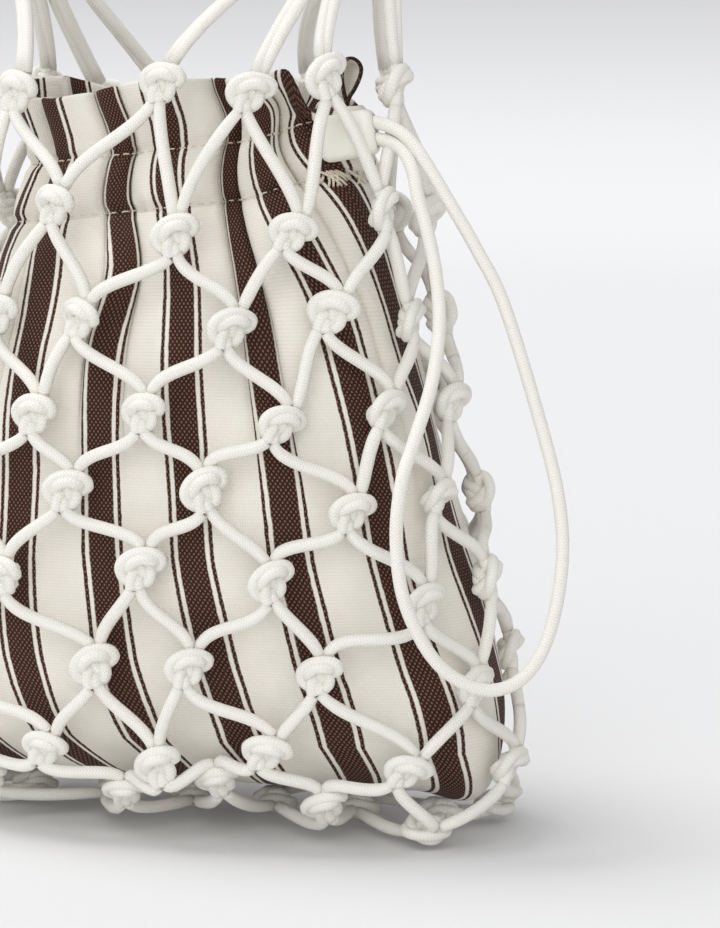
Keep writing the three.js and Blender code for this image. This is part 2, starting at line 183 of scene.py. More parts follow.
class CordWork:
    """Collects tubes along paths in millimetres and makes one mesh object of them."""

    def __init__(self):
        self.points, self.faces, self.uvs, self.count = [], [], [], 0

    def add(self, path, radius, sides=8):
        path = np.asarray(path, float)
        ways = np.gradient(path, axis=0)
        ways /= np.linalg.norm(ways, axis=1)[:, None]
        run = run_along(path) * MM
        angles = np.arange(sides) * 2 * math.pi / sides
        across = np.cross(ways[0], ODD_WAY)
        for place, way, thick in zip(path, ways, np.broadcast_to(radius, len(path))):
            across = unit(across - way * (across @ way))
            lift = np.cross(way, across)
            ring = np.cos(angles)[:, None] * across + np.sin(angles)[:, None] * lift
            self.points.append(place + thick * ring)
        start = self.count
        for k in range(len(path) - 1):
            for i in range(sides):
                j = (i + 1) % sides
                low, high = start + k * sides, start + (k + 1) * sides
                self.faces.append((low + i, low + j, high + j, high + i))
                left, right = i / sides, (i + 1) / sides
                self.uvs += [run[k], left, run[k], right, run[k + 1], right, run[k + 1], left]
        last = start + (len(path) - 1) * sides
        self.faces.append(tuple(start + i for i in reversed(range(sides))))
        self.faces.append(tuple(last + i for i in range(sides)))
        self.uvs += [c for i in reversed(range(sides)) for c in (run[0], i / sides)]
        self.uvs += [c for i in range(sides) for c in (run[-1], i / sides)]
        self.count += len(path) * sides

    def make(self, name, material):
        mesh = bpy.data.meshes.new(name)
        mesh.from_pydata(np.concatenate(self.points) * MM, [], self.faces)
        layer = mesh.uv_layers.new(name="cord")
        layer.uv.foreach_set("vector", np.array(self.uvs, np.float32))
        piece = bpy.data.objects.new(name, mesh)
        bpy.context.scene.collection.objects.link(piece)
        mesh.materials.append(material)
        mesh.polygons.foreach_set("use_smooth", np.ones(len(mesh.polygons), bool))
        mesh.update()
        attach(piece, "root")
        print("made", name, "with", sum(len(f) - 2 for f in self.faces), "triangles")
        return piece


def smooth_path(points, steps):
    """A smooth path through points, with the same number of steps between each two of them."""
    points = np.asarray(points, float)
    ends = np.vstack([2 * points[0] - points[1], points, 2 * points[-1] - points[-2]])
    t = np.linspace(0, 1, steps, endpoint=False)[:, None]
    legs = []
    for a, b, c, d in zip(ends, ends[1:], ends[2:], ends[3:]):
        legs.append(0.5 * (2 * b + (c - a) * t + (2 * a - 5 * b + 4 * c - d) * t ** 2
                           + (3 * b - a - 3 * c + d) * t ** 3))
    return np.vstack(legs + [points[-1:]])


# %% [markdown]
# ## The drawstring
# One loop of the cord comes out of the stopper, hangs beside the bag and goes back into the same
# face. A hanging cord could be simulated, but its line is plain to see in the picture, so the path
# is given by points that it passes through. It leaves the block straight for its first few
# millimetres, and its lowest bend is wide, as a limp cord's is.

# %% Drawstring
CORD_DIAMETER = 4.3
STOPPER_PLACE = np.array([61, -18.3, 230])
STOPPER_SIZE = np.array([19, 11, 15])
STOPPER_RISE = math.radians(10)
STRAND_SPACING = 5.4
STRAND_WAY = unit((0.977, -0.12, -0.18))
STRAND_LEAD = 4
STRAND_INSET = 2
ROUTE_STEPS = 8
DRAWSTRING_SIDES = 12
DRAWSTRING_ROUTE = [
    (78.6, -19.5, 231.4), (83.2, -20.3, 227.6), (87.8, -20.8, 221.4), (95.5, -20.5, 209),
    (104, -19.5, 194.5), (113, -19, 177), (125, -20, 141), (132, -22, 116), (134, -25, 95),
    (131, -30, 73), (124, -36, 60), (113, -43, 57), (100, -50, 66), (91, -55, 85), (88, -55, 105),
    (89, -53, 123), (91.5, -47, 136), (94.5, -38, 153), (95, -31, 171), (92.8, -27.5, 187),
    (89.5, -26, 200.5), (86, -24.8, 211.5), (84, -23, 218.8), (81.4, -21.2, 223.5),
    (78.6, -19.8, 226.4),
]


def from_stopper(along_block, across_block, up_block):
    """A point given along, across and up the tilted stopper block."""
    x = along_block * math.cos(STOPPER_RISE) - up_block * math.sin(STOPPER_RISE)
    z = along_block * math.sin(STOPPER_RISE) + up_block * math.cos(STOPPER_RISE)
    return STOPPER_PLACE + np.array([x, across_block, z])


end_face = STOPPER_SIZE[0] / 2
exits = [from_stopper(end_face, 0, up) for up in (STRAND_SPACING / 2, -STRAND_SPACING / 2)]
drawstring_points = [exits[0] - STRAND_INSET * STRAND_WAY, exits[0] + STRAND_LEAD * STRAND_WAY,
                     *DRAWSTRING_ROUTE,
                     exits[1] + STRAND_LEAD * STRAND_WAY, exits[1] - STRAND_INSET * STRAND_WAY]
drawstring_path = smooth_path(drawstring_points, ROUTE_STEPS)
work = CordWork()
work.add(drawstring_path, CORD_DIAMETER / 2, DRAWSTRING_SIDES)
drawstring = work.make("drawstring_loop", braided_cord)
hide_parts("drawstring")

# %% [markdown]
# ## The stage and the light
# A bag of white cord needs soft light from one side, or its knots go flat. A sheet of pale paper
# sweeps up behind it: a plane whose far edge is extruded upwards, with the corner bevelled into a
# wide curve so that no line shows. A broad skylight from the upper left gives the forms and the
# shadow, a weaker window in front fills them, and the sky around is pale, brightest on the left. Both
# lamps are suns with a wide disc: a sun lights the far paper as evenly as the bag.

# %% Paper sweep
SWEEP_HALF = 6.5
SWEEP_BACK = 4.2
SWEEP_HEIGHT = 3.5
SWEEP_CURVE = 1.6
CURVE_STEPS = 24
WALL_SHADE_RISE = 0.5
NEAR = 0.01

bpy.ops.object.select_all(action="DESELECT")
bpy.ops.mesh.primitive_plane_add(size=2, location=(0, 0, 0))
paper = bpy.context.object
paper.name = "paper_sweep"
paper.scale = (SWEEP_HALF, SWEEP_HALF, 1)
paper.location.y = SWEEP_BACK - SWEEP_HALF
bpy.ops.object.transform_apply(location=True, rotation=False, scale=True)
bpy.ops.object.mode_set(mode="EDIT")
bpy.ops.mesh.select_all(action="DESELECT")
bpy.ops.object.mode_set(mode="OBJECT")
for edge in paper.data.edges:
    edge.select = all(paper.data.vertices[v].co.y > SWEEP_BACK - NEAR for v in edge.vertices)
bpy.ops.object.mode_set(mode="EDIT")
bpy.ops.mesh.select_mode(type="EDGE")
bpy.ops.mesh.extrude_region_move(TRANSFORM_OT_translate={"value": (0, 0, SWEEP_HEIGHT)})
bpy.ops.object.mode_set(mode="OBJECT")
for edge in paper.data.edges:
    ends = [paper.data.vertices[v].co for v in edge.vertices]
    edge.select = all(p.y > SWEEP_BACK - NEAR and p.z < NEAR for p in ends)
bpy.ops.object.mode_set(mode="EDIT")
bpy.ops.mesh.bevel(offset=SWEEP_CURVE, segments=CURVE_STEPS)
bpy.ops.object.mode_set(mode="OBJECT")
bpy.ops.object.shade_smooth()

paper_finish, tree, shader = new_finish("matt_paper")
paper_axes = add(tree, "SeparateXYZ", {0: add(tree, "TexCoord").outputs["Object"]})
# The sweep is coloured darker as it rises into the wall: painted shade, standing in for less light on the
# backdrop.
wall_shade_share = add(tree, "MapRange", {
    0: paper_axes.outputs[2], 1: 0.0, 2: WALL_SHADE_RISE,
}, interpolation_type="SMOOTHSTEP")
paper_tone_with_wall_shade = add(tree, "MixRGB", {0: wall_shade_share, 1: linear("#E5E5E5"), 2: linear("#B4B4B5")})
plug(tree, shader, {"Base Color": paper_tone_with_wall_shade, "Roughness": 0.9})
paper.data.materials.append(paper_finish)
print("paper sweep has", len(paper.data.polygons), "faces")

# %% Lamps and sky
LAMPS = [
    # name, direction that the light comes from, width of its disc in degrees, power
    ("skylight_left", (-0.34, 0.0, 0.94), 30, 1.3),
    ("window_front", (0.2, -0.88, 0.4), 70, 1.25),
]
for lamp_name, lamp_from, lamp_spread, lamp_power in LAMPS:
    bpy.ops.object.light_add(type="SUN", location=lamp_from)
    lamp = bpy.context.object
    lamp.name = lamp_name
    lamp.data.angle = math.radians(lamp_spread)
    lamp.data.energy = lamp_power
    lamp.rotation_euler = (-Vector(lamp_from)).to_track_quat("-Z", "Y").to_euler()

sky = bpy.data.worlds.new("pale_sky")
sky.use_nodes = True
tree = sky.node_tree
sky_axes = add(tree, "SeparateXYZ", {0: add(tree, "TexCoord").outputs["Generated"]})
sky_share = add(tree, "MapRange", {0: sky_axes.outputs[0], 1: -1.0, 2: 1.0})
sky_tone = add(tree, "MixRGB", {0: sky_share, 1: linear("#FBFCFF"), 2: linear("#9A9A9C")})
plug(tree, tree.nodes["Background"], {"Color": sky_tone, "Strength": 0.9})
bpy.context.scene.world = sky
bpy.context.scene.view_settings.view_transform = "Standard"
print("lamps", [entry[0] for entry in LAMPS])

# %% [markdown]
# ## The bag's rounded oval
# Seen from above, both the pouch and the net are ovals between an ellipse and a box. A superellipse
# with a power of 2.4 draws them. Both are counted round by share of the girth: 0 is the right side,
# 0.25 the middle of the front and 0.5 the left side.

# %% Points round an oval
SECTION_POWER = 2.4
OVAL_STEPS = 1440
LEAST_DEPTH = 0.5


def oval(half_width, half_depth, shares):
    """Points and outward normals round an oval, at shares of its girth, and the girth."""
    angle = np.linspace(0, -2 * math.pi, OVAL_STEPS + 1)
    bow = [np.sign(w) * np.abs(w) ** (2 / SECTION_POWER) for w in (np.cos(angle), np.sin(angle))]
    x, y = half_width * bow[0], half_depth * bow[1]
    run = np.concatenate([[0], np.cumsum(np.hypot(np.diff(x), np.diff(y)))])
    at = np.mod(shares, 1) * run[-1]
    points = np.stack([np.interp(at, run, x), np.interp(at, run, y)], -1)
    halves = np.array([half_width, max(half_depth, LEAST_DEPTH)])
    normals = np.sign(points) * np.abs(points / halves) ** (SECTION_POWER - 1) / halves
    return points, normals / np.linalg.norm(normals, axis=-1)[..., None], run[-1]


print("an oval of 200 by 100 mm is", round(oval(100, 50, np.zeros(1))[2]), "mm round")

# %% [markdown]
# ## The knots of the net
# The net is tied in diamonds: each knot takes in two cords from above and lets two go below, half a
# place to either side. The rings of knots are listed from the top with their height, their oval and
# a turn, and a second table slides single knots to where the picture shows them, because a hand-tied
# net is never even. The two lowest rings roll in under the bag, so their knots face partly down.

# %% Rings of knots
NET_COLUMNS = 12
SIDE_COLUMN = 3.5
NET_ROWS = [
    # height, half width, half depth, turn in columns, how far the knots face down in degrees
    (245, 74, 43, -0.5, 0),
    (203, 80, 50, -0.32, 0),
    (172, 84, 53, -0.15, 0),
    (142, 91, 57, -0.1, 0),
    (115, 98, 58, -0.05, 0),
    (88, 105, 58, 0, 0),
    (58, 110, 56, 0, 0),
    (29, 113, 53, -0.08, 14),
    (17, 106, 41, -0.05, 38),
]
KNOT_SHIFTS = {
    # row, column: along the ring towards the left, up
    (0, 0): (-7, 2), (0, 1): (-3.5, -1), (0, 2): (4.5, 4), (0, 3): (7, 1),
    (0, 6): (-20, -6), (0, 7): (-12, -5), (0, 10): (7, 0), (0, 11): (14, -1),
    (1, 11): (4, 5), (1, 0): (-2, -4), (1, 1): (-4, -3), (1, 2): (0, 4),
    (2, 0): (5, 0), (2, 1): (-8, -2), (2, 2): (-3, 3), (2, 3): (4, -1), (2, 4): (6, -1),
    (3, 11): (-3, -1), (3, 0): (-1, 1), (3, 1): (-5, -2), (3, 2): (1, 2), (3, 3): (4, 1),
    (4, 0): (2, 2), (4, 1): (-2, 4), (4, 2): (-6, -3), (4, 3): (5, 0), (4, 4): (0, -4),
    (5, 0): (-4, 5), (5, 1): (-2, 2), (5, 2): (-7, -6), (5, 3): (7, -1),
    (6, 0): (-10, 2), (6, 1): (4, 3), (6, 2): (7, 2), (6, 3): (0, -4),
    (7, 11): (-10, 2), (7, 0): (-4, -1), (7, 1): (6, 5), (7, 2): (7, -1), (7, 3): (10, -4),
    (8, 0): (-10, -1), (8, 1): (-1, 5), (8, 2): (5, -2), (8, 3): (14, -10.5),
    (8, 4): (6, -10.5), (8, 9): (0, -10.5), (8, 10): (0, -10.5),
}
BASE_KNOTS = 7
BASE_SPACING = 29
BASE_HEIGHT = 6.5
FLOOR_FACING = 80
# The front half of the net starts this many columns to the right of the first one.
RIGHT_OF_FIRST = 2
UP = np.array([0.0, 0.0, 1.0])


def ring_knot(row, column):
    height, half_width, half_depth, ring_turn, facing_down = NET_ROWS[row]
    slide, rise = KNOT_SHIFTS.get((row, column), (0, 0))
    girth = oval(half_width, half_depth, np.zeros(1))[2]
    share = (SIDE_COLUMN - column - (row % 2) / 2 + ring_turn) / NET_COLUMNS + slide / girth
    points, normals, _ = oval(half_width, half_depth, np.array([share]))
    centre = np.array([*points[0], height + rise])
    level = np.array([*normals[0], 0])
    on_floor = centre[2] <= BASE_HEIGHT
    dip = math.radians(FLOOR_FACING if on_floor else facing_down)
    facing = level * math.cos(dip) - UP * math.sin(dip)
    lift = UP * math.cos(dip) + level * math.sin(dip)
    front = (column + RIGHT_OF_FIRST) % NET_COLUMNS < NET_COLUMNS // 2
    return {"centre": centre, "facing": facing, "up": lift, "right": np.cross(lift, facing),
            "row": row, "front": front}


def base_knot(place):
    centre = np.array([(place - (BASE_KNOTS - 1) / 2) * BASE_SPACING, 0, BASE_HEIGHT])
    return {"centre": centre, "facing": -UP, "up": np.array([0.0, 1.0, 0.0]),
            "right": np.array([-1.0, 0.0, 0.0]), "row": len(NET_ROWS), "front": True}


rings = [[ring_knot(row, column) for column in range(NET_COLUMNS)] for row in range(len(NET_ROWS))]
base = [base_knot(place) for place in range(BASE_KNOTS)]
knots = [knot for ring in rings for knot in ring] + base
print(len(knots), "knots")

# %% [markdown]
# ## Tying a knot
# Each knot is an overhand knot tied in two cords at once. A lump with grooves would pass from afar,
# but the turns of a real knot are what the eye looks for. So the knot is tied here as with two real
# cords: first loosely, along a given line, and then drawn up. At each step the cords get a little
# shorter, keep their length evenly, resist sharp bends and push apart where they touch, until they
# are tight. Lengths are counted in cord diameters.

# %% A loose knot
LOOSE_KNOT = np.array([
    # right, up, out
    (0, 9, 0), (0, 6, 0), (0, 4, 0), (-0.3, 1.7, 0.1), (0.9, -1.4, 1.1), (3.2, -1.9, 0.9),
    (4.4, 0.8, 0), (2.4, 3.2, -1.3), (-0.6, 3.0, -1.7), (-3.2, 1.7, -0.4), (-2.4, 0.1, 1.0),
    (-0.3, 0.5, 1.8), (1.7, 0.7, 0.5), (2.0, -1.7, -1.0), (1.0, -4.2, -0.4), (0, -6, 0), (0, -9, 0),
])
LOOSE_STEPS, LOOSE_POINTS = 30, 400
HAND_SHAKE = 0.15


def evenly(path, count):
    """The same path with evenly spaced points."""
    run = run_along(path)
    at = np.linspace(0, run[-1], count)
    return np.stack([np.interp(at, run, path[:, c]) for c in range(3)], 1)


def loose_line(seed):
    """The given line, a little different for each seed, with its two ends held still."""
    shake = np.random.default_rng(seed).normal(0, HAND_SHAKE, LOOSE_KNOT.shape)
    shake[:3] = shake[-3:] = 0
    return evenly(smooth_path(LOOSE_KNOT + shake, LOOSE_STEPS), LOOSE_POINTS)


print("the loose knot takes", round(run_along(LOOSE_KNOT)[-1], 1), "cord diameters")

# %% Draw it tight
CORD_POINTS = 120
TOUCH = 0.8
NEIGHBOURS = 1.7
PULLS, EASINGS = 110, 14
DRAW_UP = 0.991
BEND_EASE = 0.06
PUSH_APART = 0.35
TIGHT = 1.09


def tie_knot(seed):
    """The two cords of one tight knot, from its top to its bottom, about its middle."""
    middle = loose_line(seed)
    aside = np.cross(np.gradient(middle, axis=0), [0, 0, 1.0])
    aside /= np.linalg.norm(aside, axis=1)[:, None]
    cords = np.stack([evenly(middle + hand * aside / 2, CORD_POINTS) for hand in (1, -1)])
    lengths = np.linalg.norm(np.diff(cords, axis=1), axis=2)[..., None]
    ends = [0, 1, -2, -1]
    held = cords[:, ends].copy()
    number = np.arange(2 * CORD_POINTS)
    same_cord = number[:, None] // CORD_POINTS == number // CORD_POINTS
    apart = np.abs(number[:, None] - number) * lengths.mean() > NEIGHBOURS * TOUCH
    first, second = np.nonzero(np.triu(apart | ~same_cord, 1))
    flat = cords.reshape(-1, 3)
    for _ in range(PULLS):
        held[..., 1] *= DRAW_UP
        lengths = lengths * DRAW_UP
        for _ in range(EASINGS):
            cords[:, ends] = held
            cords[:, 1:-1] += BEND_EASE * (cords[:, :-2] + cords[:, 2:] - 2 * cords[:, 1:-1])
            for odd in (0, 1):
                above, below = cords[:, odd:-1:2], cords[:, odd + 1::2]
                gap = below - above
                far = np.linalg.norm(gap, axis=2)[..., None]
                step = 0.5 * (1 - lengths[:, odd::2] / far) * gap
                above += step
                below -= step
            gap = flat[second] - flat[first]
            far = np.linalg.norm(gap, axis=1)
            touch = far < TOUCH
            push = (PUSH_APART * (TOUCH / far[touch] - 1))[:, None] * gap[touch]
            np.add.at(flat, first[touch], -push)
            np.add.at(flat, second[touch], push)
        if np.linalg.norm(np.diff(cords, axis=1), axis=2).sum() > TIGHT * lengths.sum():
            break
    inner = cords[:, CORD_POINTS // 4:-CORD_POINTS // 4].reshape(-1, 3)
    return cords - (inner.max(0) + inner.min(0)) / 2


# %% Three tight knots
KNOT_SEEDS = (1, 2, 4)
KNOT_REACH = 2.05
KNOT_POINTS = 30
tied_knots = []
for seed in KNOT_SEEDS:
    tight = []
    for cord_path in tie_knot(seed):
        half = CORD_POINTS // 2
        top = np.nonzero(cord_path[:half, 1] > KNOT_REACH)[0].max()
        bottom = half + np.nonzero(cord_path[half:, 1] < -KNOT_REACH)[0].min()
        tight.append(smooth_path(evenly(cord_path[top:bottom + 1], KNOT_POINTS), 2))
    tied_knots.append(tight)
    knot_size = np.ptp(np.vstack(tight), axis=0) + 1
    print("knot", seed, "measures", np.round(knot_size, 2), "cord diameters")

# %% [markdown]
# ## Setting the knots
# The tight knot is copied to every place of the net, with the turn of the cords that closes it on
# top, like a collar. Turned about its own length and swung a little, three knots look like a dozen.
# A cord is squeezed inside its knot, so its turns are thinner there than where it runs free. Each
# copy notes its four ends, two above and two below.

# %% Place the knots and note their ends
SQUEEZED = 2.9
SQUEEZED_RADIUS = 0.65
KNOT_SIZES = (0.96, 1.04)
# How far a knot is turned about its length at most, for each ring from the top. The last holds below.
KNOT_TURNS = [15, 30, 30, 30, 30, 30, 30, 0]
KNOT_SWING = 24
tying = np.random.default_rng(5)


def place_knot(knot):
    shape = tied_knots[tying.integers(len(tied_knots))]
    most = KNOT_TURNS[min(knot["row"], len(KNOT_TURNS) - 1)]
    turned = math.radians(180 + tying.uniform(-1, 1) * most)
    swing = math.radians(tying.uniform(-KNOT_SWING, KNOT_SWING))
    aside = math.cos(swing) * knot["right"] + math.sin(swing) * knot["up"]
    up = math.cos(swing) * knot["up"] - math.sin(swing) * knot["right"]
    right = math.cos(turned) * aside + math.sin(turned) * knot["facing"]
    out = math.cos(turned) * knot["facing"] - math.sin(turned) * aside
    scale = SQUEEZED * tying.uniform(*KNOT_SIZES)
    axes = scale * np.array([right, up, out])
    knot["cords"] = [knot["centre"] + path @ axes for path in shape]
    knot["radius"] = scale * SQUEEZED_RADIUS
    ends = [(c[i], unit(c[i] - c[j])) for c in knot["cords"] for i, j in ((0, 2), (-1, -3))]
    by_height = sorted(ends, key=lambda end: (end[0] - knot["centre"]) @ knot["up"])
    for name, pair in (("bottom", by_height[:2]), ("top", by_height[2:])):
        knot[name] = sorted(pair, key=lambda end: (end[0] - knot["centre"]) @ knot["right"])


for knot in knots:
    place_knot(knot)
print("set", len(knots), "knots")

# %% [markdown]
# ## The cords between the knots
# A cord leaves its knot in the way the knot turns it, not in the way it has to go, so it runs in a
# slack S. Two ends and two directions are just what a Hermite curve takes. A cord that goes off to
# the left leaves nearly level and drops into the next knot, and one to the right runs straighter.
# Where a cord would cut into the cloth it is moved out to lie on it.

# %% Pouch levels, which the cords lie against
POUCH_LEVELS = np.array([
    # height, half width, half depth
    (13.4, 86, 0.0),
    (14.2, 93, 10),
    (16.5, 99.5, 20),
    (22, 104, 30),
    (33, 107, 39),
    (46, 107.5, 43.5),
    (60, 105, 46),
    (76, 100.5, 48),
    (95, 95, 49),
    (118, 89.5, 49),
    (142, 83, 48),
    (172, 72, 43),
    (190, 65, 37),
    (203, 60, 29),
    (222, 54, 22),
    (247, 59, 25),
])
CORD_LIE = 3.0
FLOOR_CLEAR = 0.1


def pushed_clear(path):
    """Moves the points of a path out of the cloth, level, until they clear it by a cord's half."""
    path = path.copy()
    for point in path:
        halves = [np.interp(point[2], POUCH_LEVELS[:, 0], POUCH_LEVELS[:, k]) + CORD_LIE for k in (1, 2)]
        depth = sum((abs(p) / half) ** SECTION_POWER for p, half in zip(point[:2], halves))
        if 1e-6 < depth < 1 and point[2] > POUCH_LEVELS[0, 0]:
            point[:2] /= depth ** (1 / SECTION_POWER)
    path[:, 2] = np.maximum(path[:, 2], CORD_DIAMETER / 2 + FLOOR_CLEAR)
    return path


print("the pouch is widest at", POUCH_LEVELS[POUCH_LEVELS[:, 1].argmax(), 0], "mm")

# %% Slack cords
STRAND_POINTS = 17
# How far a cord keeps its knot's way, leaves level and drops into the next knot.
LEFTWARD, RIGHTWARD = (0.7, 0.55, 0.5), (0.2, 0, 0.1)
OWN_WAY, WAY_VARIES = 0.8, 0.25
PULL, PULL_VARIES = 0.95, 0.2
BULGE, BULGE_VARIES = 0.8, 0.6
slack = np.random.default_rng(11)


def hermite(t, start, leave, end, enter):
    """Points of a smooth line from start to end that sets out along leave and comes in along enter."""
    return ((2 * t ** 3 - 3 * t ** 2 + 1) * start + (t ** 3 - 2 * t ** 2 + t) * leave
            + (3 * t ** 2 - 2 * t ** 3) * end + (t ** 3 - t ** 2) * enter)


def bow(start, leave, end, enter, pull, points):
    """A slack line, the slacker the more pull its two directions have."""
    return hermite(np.linspace(0, 1, points)[:, None], start, pull * leave, end, pull * enter)


def nearest_end(knot, target):
    """Takes the free end of a base knot that points best towards a place."""
    free = knot.setdefault("free", knot["top"] + knot["bottom"])
    way = unit(target - knot["centre"])
    best = max(range(len(free)), key=lambda i: unit(free[i][0] - knot["centre"]) @ way)
    return free.pop(best)


def strand(upper, lower):
    """The slack cord from a knot to one below it."""
    way = unit(lower["centre"] - upper["centre"])
    goes_left = way @ upper["right"] < 0
    start, out_of = upper["bottom"][0 if goes_left else 1]
    if lower["row"] == len(NET_ROWS):
        end, into = nearest_end(lower, upper["centre"])
    else:
        end, into = lower["top"][1 if goes_left else 0]
    vary = slack.uniform(-1, 1, 4)
    held, level, drop = LEFTWARD if goes_left else RIGHTWARD
    side = -upper["right"] if goes_left else upper["right"]
    leave = unit(held * out_of + OWN_WAY * way + (level + WAY_VARIES * vary[0]) * side)
    enter = unit(-held * into + OWN_WAY * way - (drop + WAY_VARIES * vary[1]) * lower["up"])
    span = np.linalg.norm(end - start)
    path = bow(start, leave, end, enter, span * (PULL + PULL_VARIES * vary[2]), STRAND_POINTS)
    bulge = np.sin(np.linspace(0, math.pi, STRAND_POINTS))[:, None] * (BULGE + BULGE_VARIES * vary[3])
    path = path + bulge * unit(upper["facing"] + lower["facing"])
    path[2:-2] = pushed_clear(path)[2:-2]
    return path


# %% Tie the cords from knot to knot
links = []
for row, ring in enumerate(rings[:-1]):
    for column, knot in enumerate(ring):
        for other in ((column - 1, column) if row % 2 == 0 else (column, column + 1)):
            links.append((knot, rings[row + 1][other % NET_COLUMNS]))
# A base knot takes in cords from two neighbours of the lowest ring in front and two behind.
for place, knot in enumerate(base):
    for column in sorted({(c % NET_COLUMNS) for c in (place - 3, place - 2, 10 - place, 9 - place)}):
        links.append((rings[-1][column], knot))
strands = [(upper, lower, strand(upper, lower)) for upper, lower in links]
mean_length = np.mean([run_along(path)[-1] for *_, path in strands])
print(len(strands), "cords between knots, mean length", round(float(mean_length), 1), "mm")

# %% The two halves of the net
FREE_RADIUS = CORD_DIAMETER / 2
SWELL_SHARE = 0.2


def swelling(points, first, last):
    """A cord's radius along its run: squeezed where it leaves a knot, full where it is free."""
    t = np.linspace(0, 1, points)
    ends = np.clip(np.minimum(t, 1 - t) / SWELL_SHARE, 0, 1)
    return np.where(t < 0.5, first, last) * (1 - ends) + FREE_RADIUS * ends


halves = {True: CordWork(), False: CordWork()}
for knot in knots:
    for path in knot["cords"]:
        halves[knot["front"]].add(path, knot["radius"])
for upper, lower, path in strands:
    radius = swelling(STRAND_POINTS, upper["radius"], lower["radius"])
    if upper["front"] == lower["front"]:
        halves[upper["front"]].add(path, radius)
    else:
        middle = STRAND_POINTS // 2
        halves[upper["front"]].add(path[:middle + 1], radius[:middle + 1])
        halves[lower["front"]].add(path[middle:], radius[middle:])
for is_front, name in ((True, "front"), (False, "back")):
    net = halves[is_front].make("knotted_net_" + name, braided_cord)
    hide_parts("net_" + name)

# %% [markdown]
# ## The handle
# From each top knot a pair of cords rises to a gather at its end of the bag, where six pairs run
# together under a tight whipping. A wound grip arches from gather to gather. A coil is a path like
# any other: it turns round a straight line for the whippings and round an arch for the grip.

# %% Risers and whippings
GATHER_X = 66
GATHER_BOTTOM = 316
WHIPPING_HEIGHT = 24
WHIPPING_RADIUS = 11
BUNDLE_RADIUS = 4.6
BUNDLE_TIES = (7, 16)
RISERS_PER_GATHER = 6
RISER_POINTS = 12
PAIR_ANGLE = 0.25
TOWARDS_SEAT, UPRIGHT = 1.2, 0.5
STEPS_A_TURN = 20
ENDS_OF_COIL = 0.9


def riser_pair(knot, gather):
    """The two cords from a top knot's upper ends to their places in the bundle."""
    heading = math.atan2(knot["centre"][1] - gather[1], knot["centre"][0] - gather[0])
    turned_right = knot["right"] @ [-math.sin(heading), math.cos(heading), 0] > 0
    for hand, (start, out_of) in zip((-1, 1), knot["top"]):
        angle = heading + PAIR_ANGLE * hand * (1 if turned_right else -1)
        seat = gather + BUNDLE_RADIUS * np.array([math.cos(angle), math.sin(angle), 0])
        way = unit(seat - start)
        leave, enter = unit(out_of + TOWARDS_SEAT * way), unit(way + UPRIGHT * UP)
        rise = bow(start, leave, seat, enter, np.linalg.norm(seat - start), RISER_POINTS)
        yield np.vstack([rise] + [seat + height * UP for height in BUNDLE_TIES])


for side, sign, first in (("right", 1, 0), ("left", -1, RISERS_PER_GATHER)):
    gather = np.array([sign * GATHER_X, 0, GATHER_BOTTOM])
    work = CordWork()
    for knot in rings[0][first:first + RISERS_PER_GATHER]:
        swell = swelling(2 * RISER_POINTS, knot["radius"], FREE_RADIUS)[:RISER_POINTS]
        for path in riser_pair(knot, gather):
            work.add(path, np.append(swell, [FREE_RADIUS] * len(BUNDLE_TIES)))
    turns = WHIPPING_HEIGHT / CORD_DIAMETER - ENDS_OF_COIL
    angle = np.linspace(0, 2 * math.pi * turns, int(STEPS_A_TURN * turns))
    coil = WHIPPING_RADIUS - FREE_RADIUS
    climb = FREE_RADIUS + (WHIPPING_HEIGHT - CORD_DIAMETER) * angle / angle[-1]
    work.add(gather + np.stack([coil * np.cos(angle), coil * np.sin(angle), climb], 1), FREE_RADIUS)
    piece = work.make("cord_gather_" + side, braided_cord)
    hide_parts("gather_" + side)

# %% Wound grip
GRIP_RADIUS = 9
GRIP_RISE = 88
GRIP_FOOT = GATHER_BOTTOM + WHIPPING_HEIGHT + 0.3
GRIP_CORD = 4.2
GRIP_STEPS_A_TURN = 16
ARCH_STEPS, CORE_POINTS, CORE_SIDES = 720, 40, 10
CORE_OVERLAP = 0.4
CORE_INSET = 0.01


def arch(angle):
    return np.stack([GATHER_X * np.cos(angle), 0 * angle, GRIP_FOOT + GRIP_RISE * np.sin(angle)], -1)


fine = np.linspace(0, math.pi, ARCH_STEPS + 1)
run = run_along(arch(fine))
turns = run[-1] / GRIP_CORD
at = np.linspace(GRIP_CORD / 2, run[-1] - GRIP_CORD / 2, int(GRIP_STEPS_A_TURN * turns))
place = np.interp(at, run, fine)
outward = np.stack([np.cos(place) / GATHER_X, 0 * place, np.sin(place) / GRIP_RISE], -1)
outward /= np.linalg.norm(outward, axis=1)[:, None]
spin = 2 * math.pi * at / GRIP_CORD
wind = GRIP_RADIUS - GRIP_CORD / 2
winding_path = (arch(place) + wind * np.cos(spin)[:, None] * outward
                + wind * np.sin(spin)[:, None] * np.array([0, 1.0, 0]))
work = CordWork()
work.add(winding_path, GRIP_CORD / 2)
core = arch(np.linspace(CORE_INSET, math.pi - CORE_INSET, CORE_POINTS))
work.add(core, wind + CORE_OVERLAP, CORE_SIDES)
grip = work.make("wound_grip", braided_cord)
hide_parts("grip")

# %% [markdown]
# ## Striped canvas
# The pouch is yarn-dyed cotton canvas: the brown and cream are in the long threads, and the cross
# threads peep out between them as rows of small pale dots. It gives the eye a matt, slightly rough
# cloth with clean stripe edges. Its UV map holds the flat cloth in metres, so a stripe repeat and a
# thread spacing can be written as the millimetres they are.

# %% Striped canvas
STRIPE_REPEAT = 33.2 * MM
BAND_HALF = 4.9
BAND_SOFT = 0.2
LINE_FROM_MIDDLE = 7.05
LINE_HALF = 0.69
LINE_SOFT = 0.15
EDGE_SHIFT = 0.5
EDGE_WANDER = 2.4 * MM
THREAD_ACROSS = 0.82 * MM
THREAD_UP = 1.0 * MM
WEAVE_DEPTH = 0.18 * MM
SLUB_LENGTH = 17 * MM

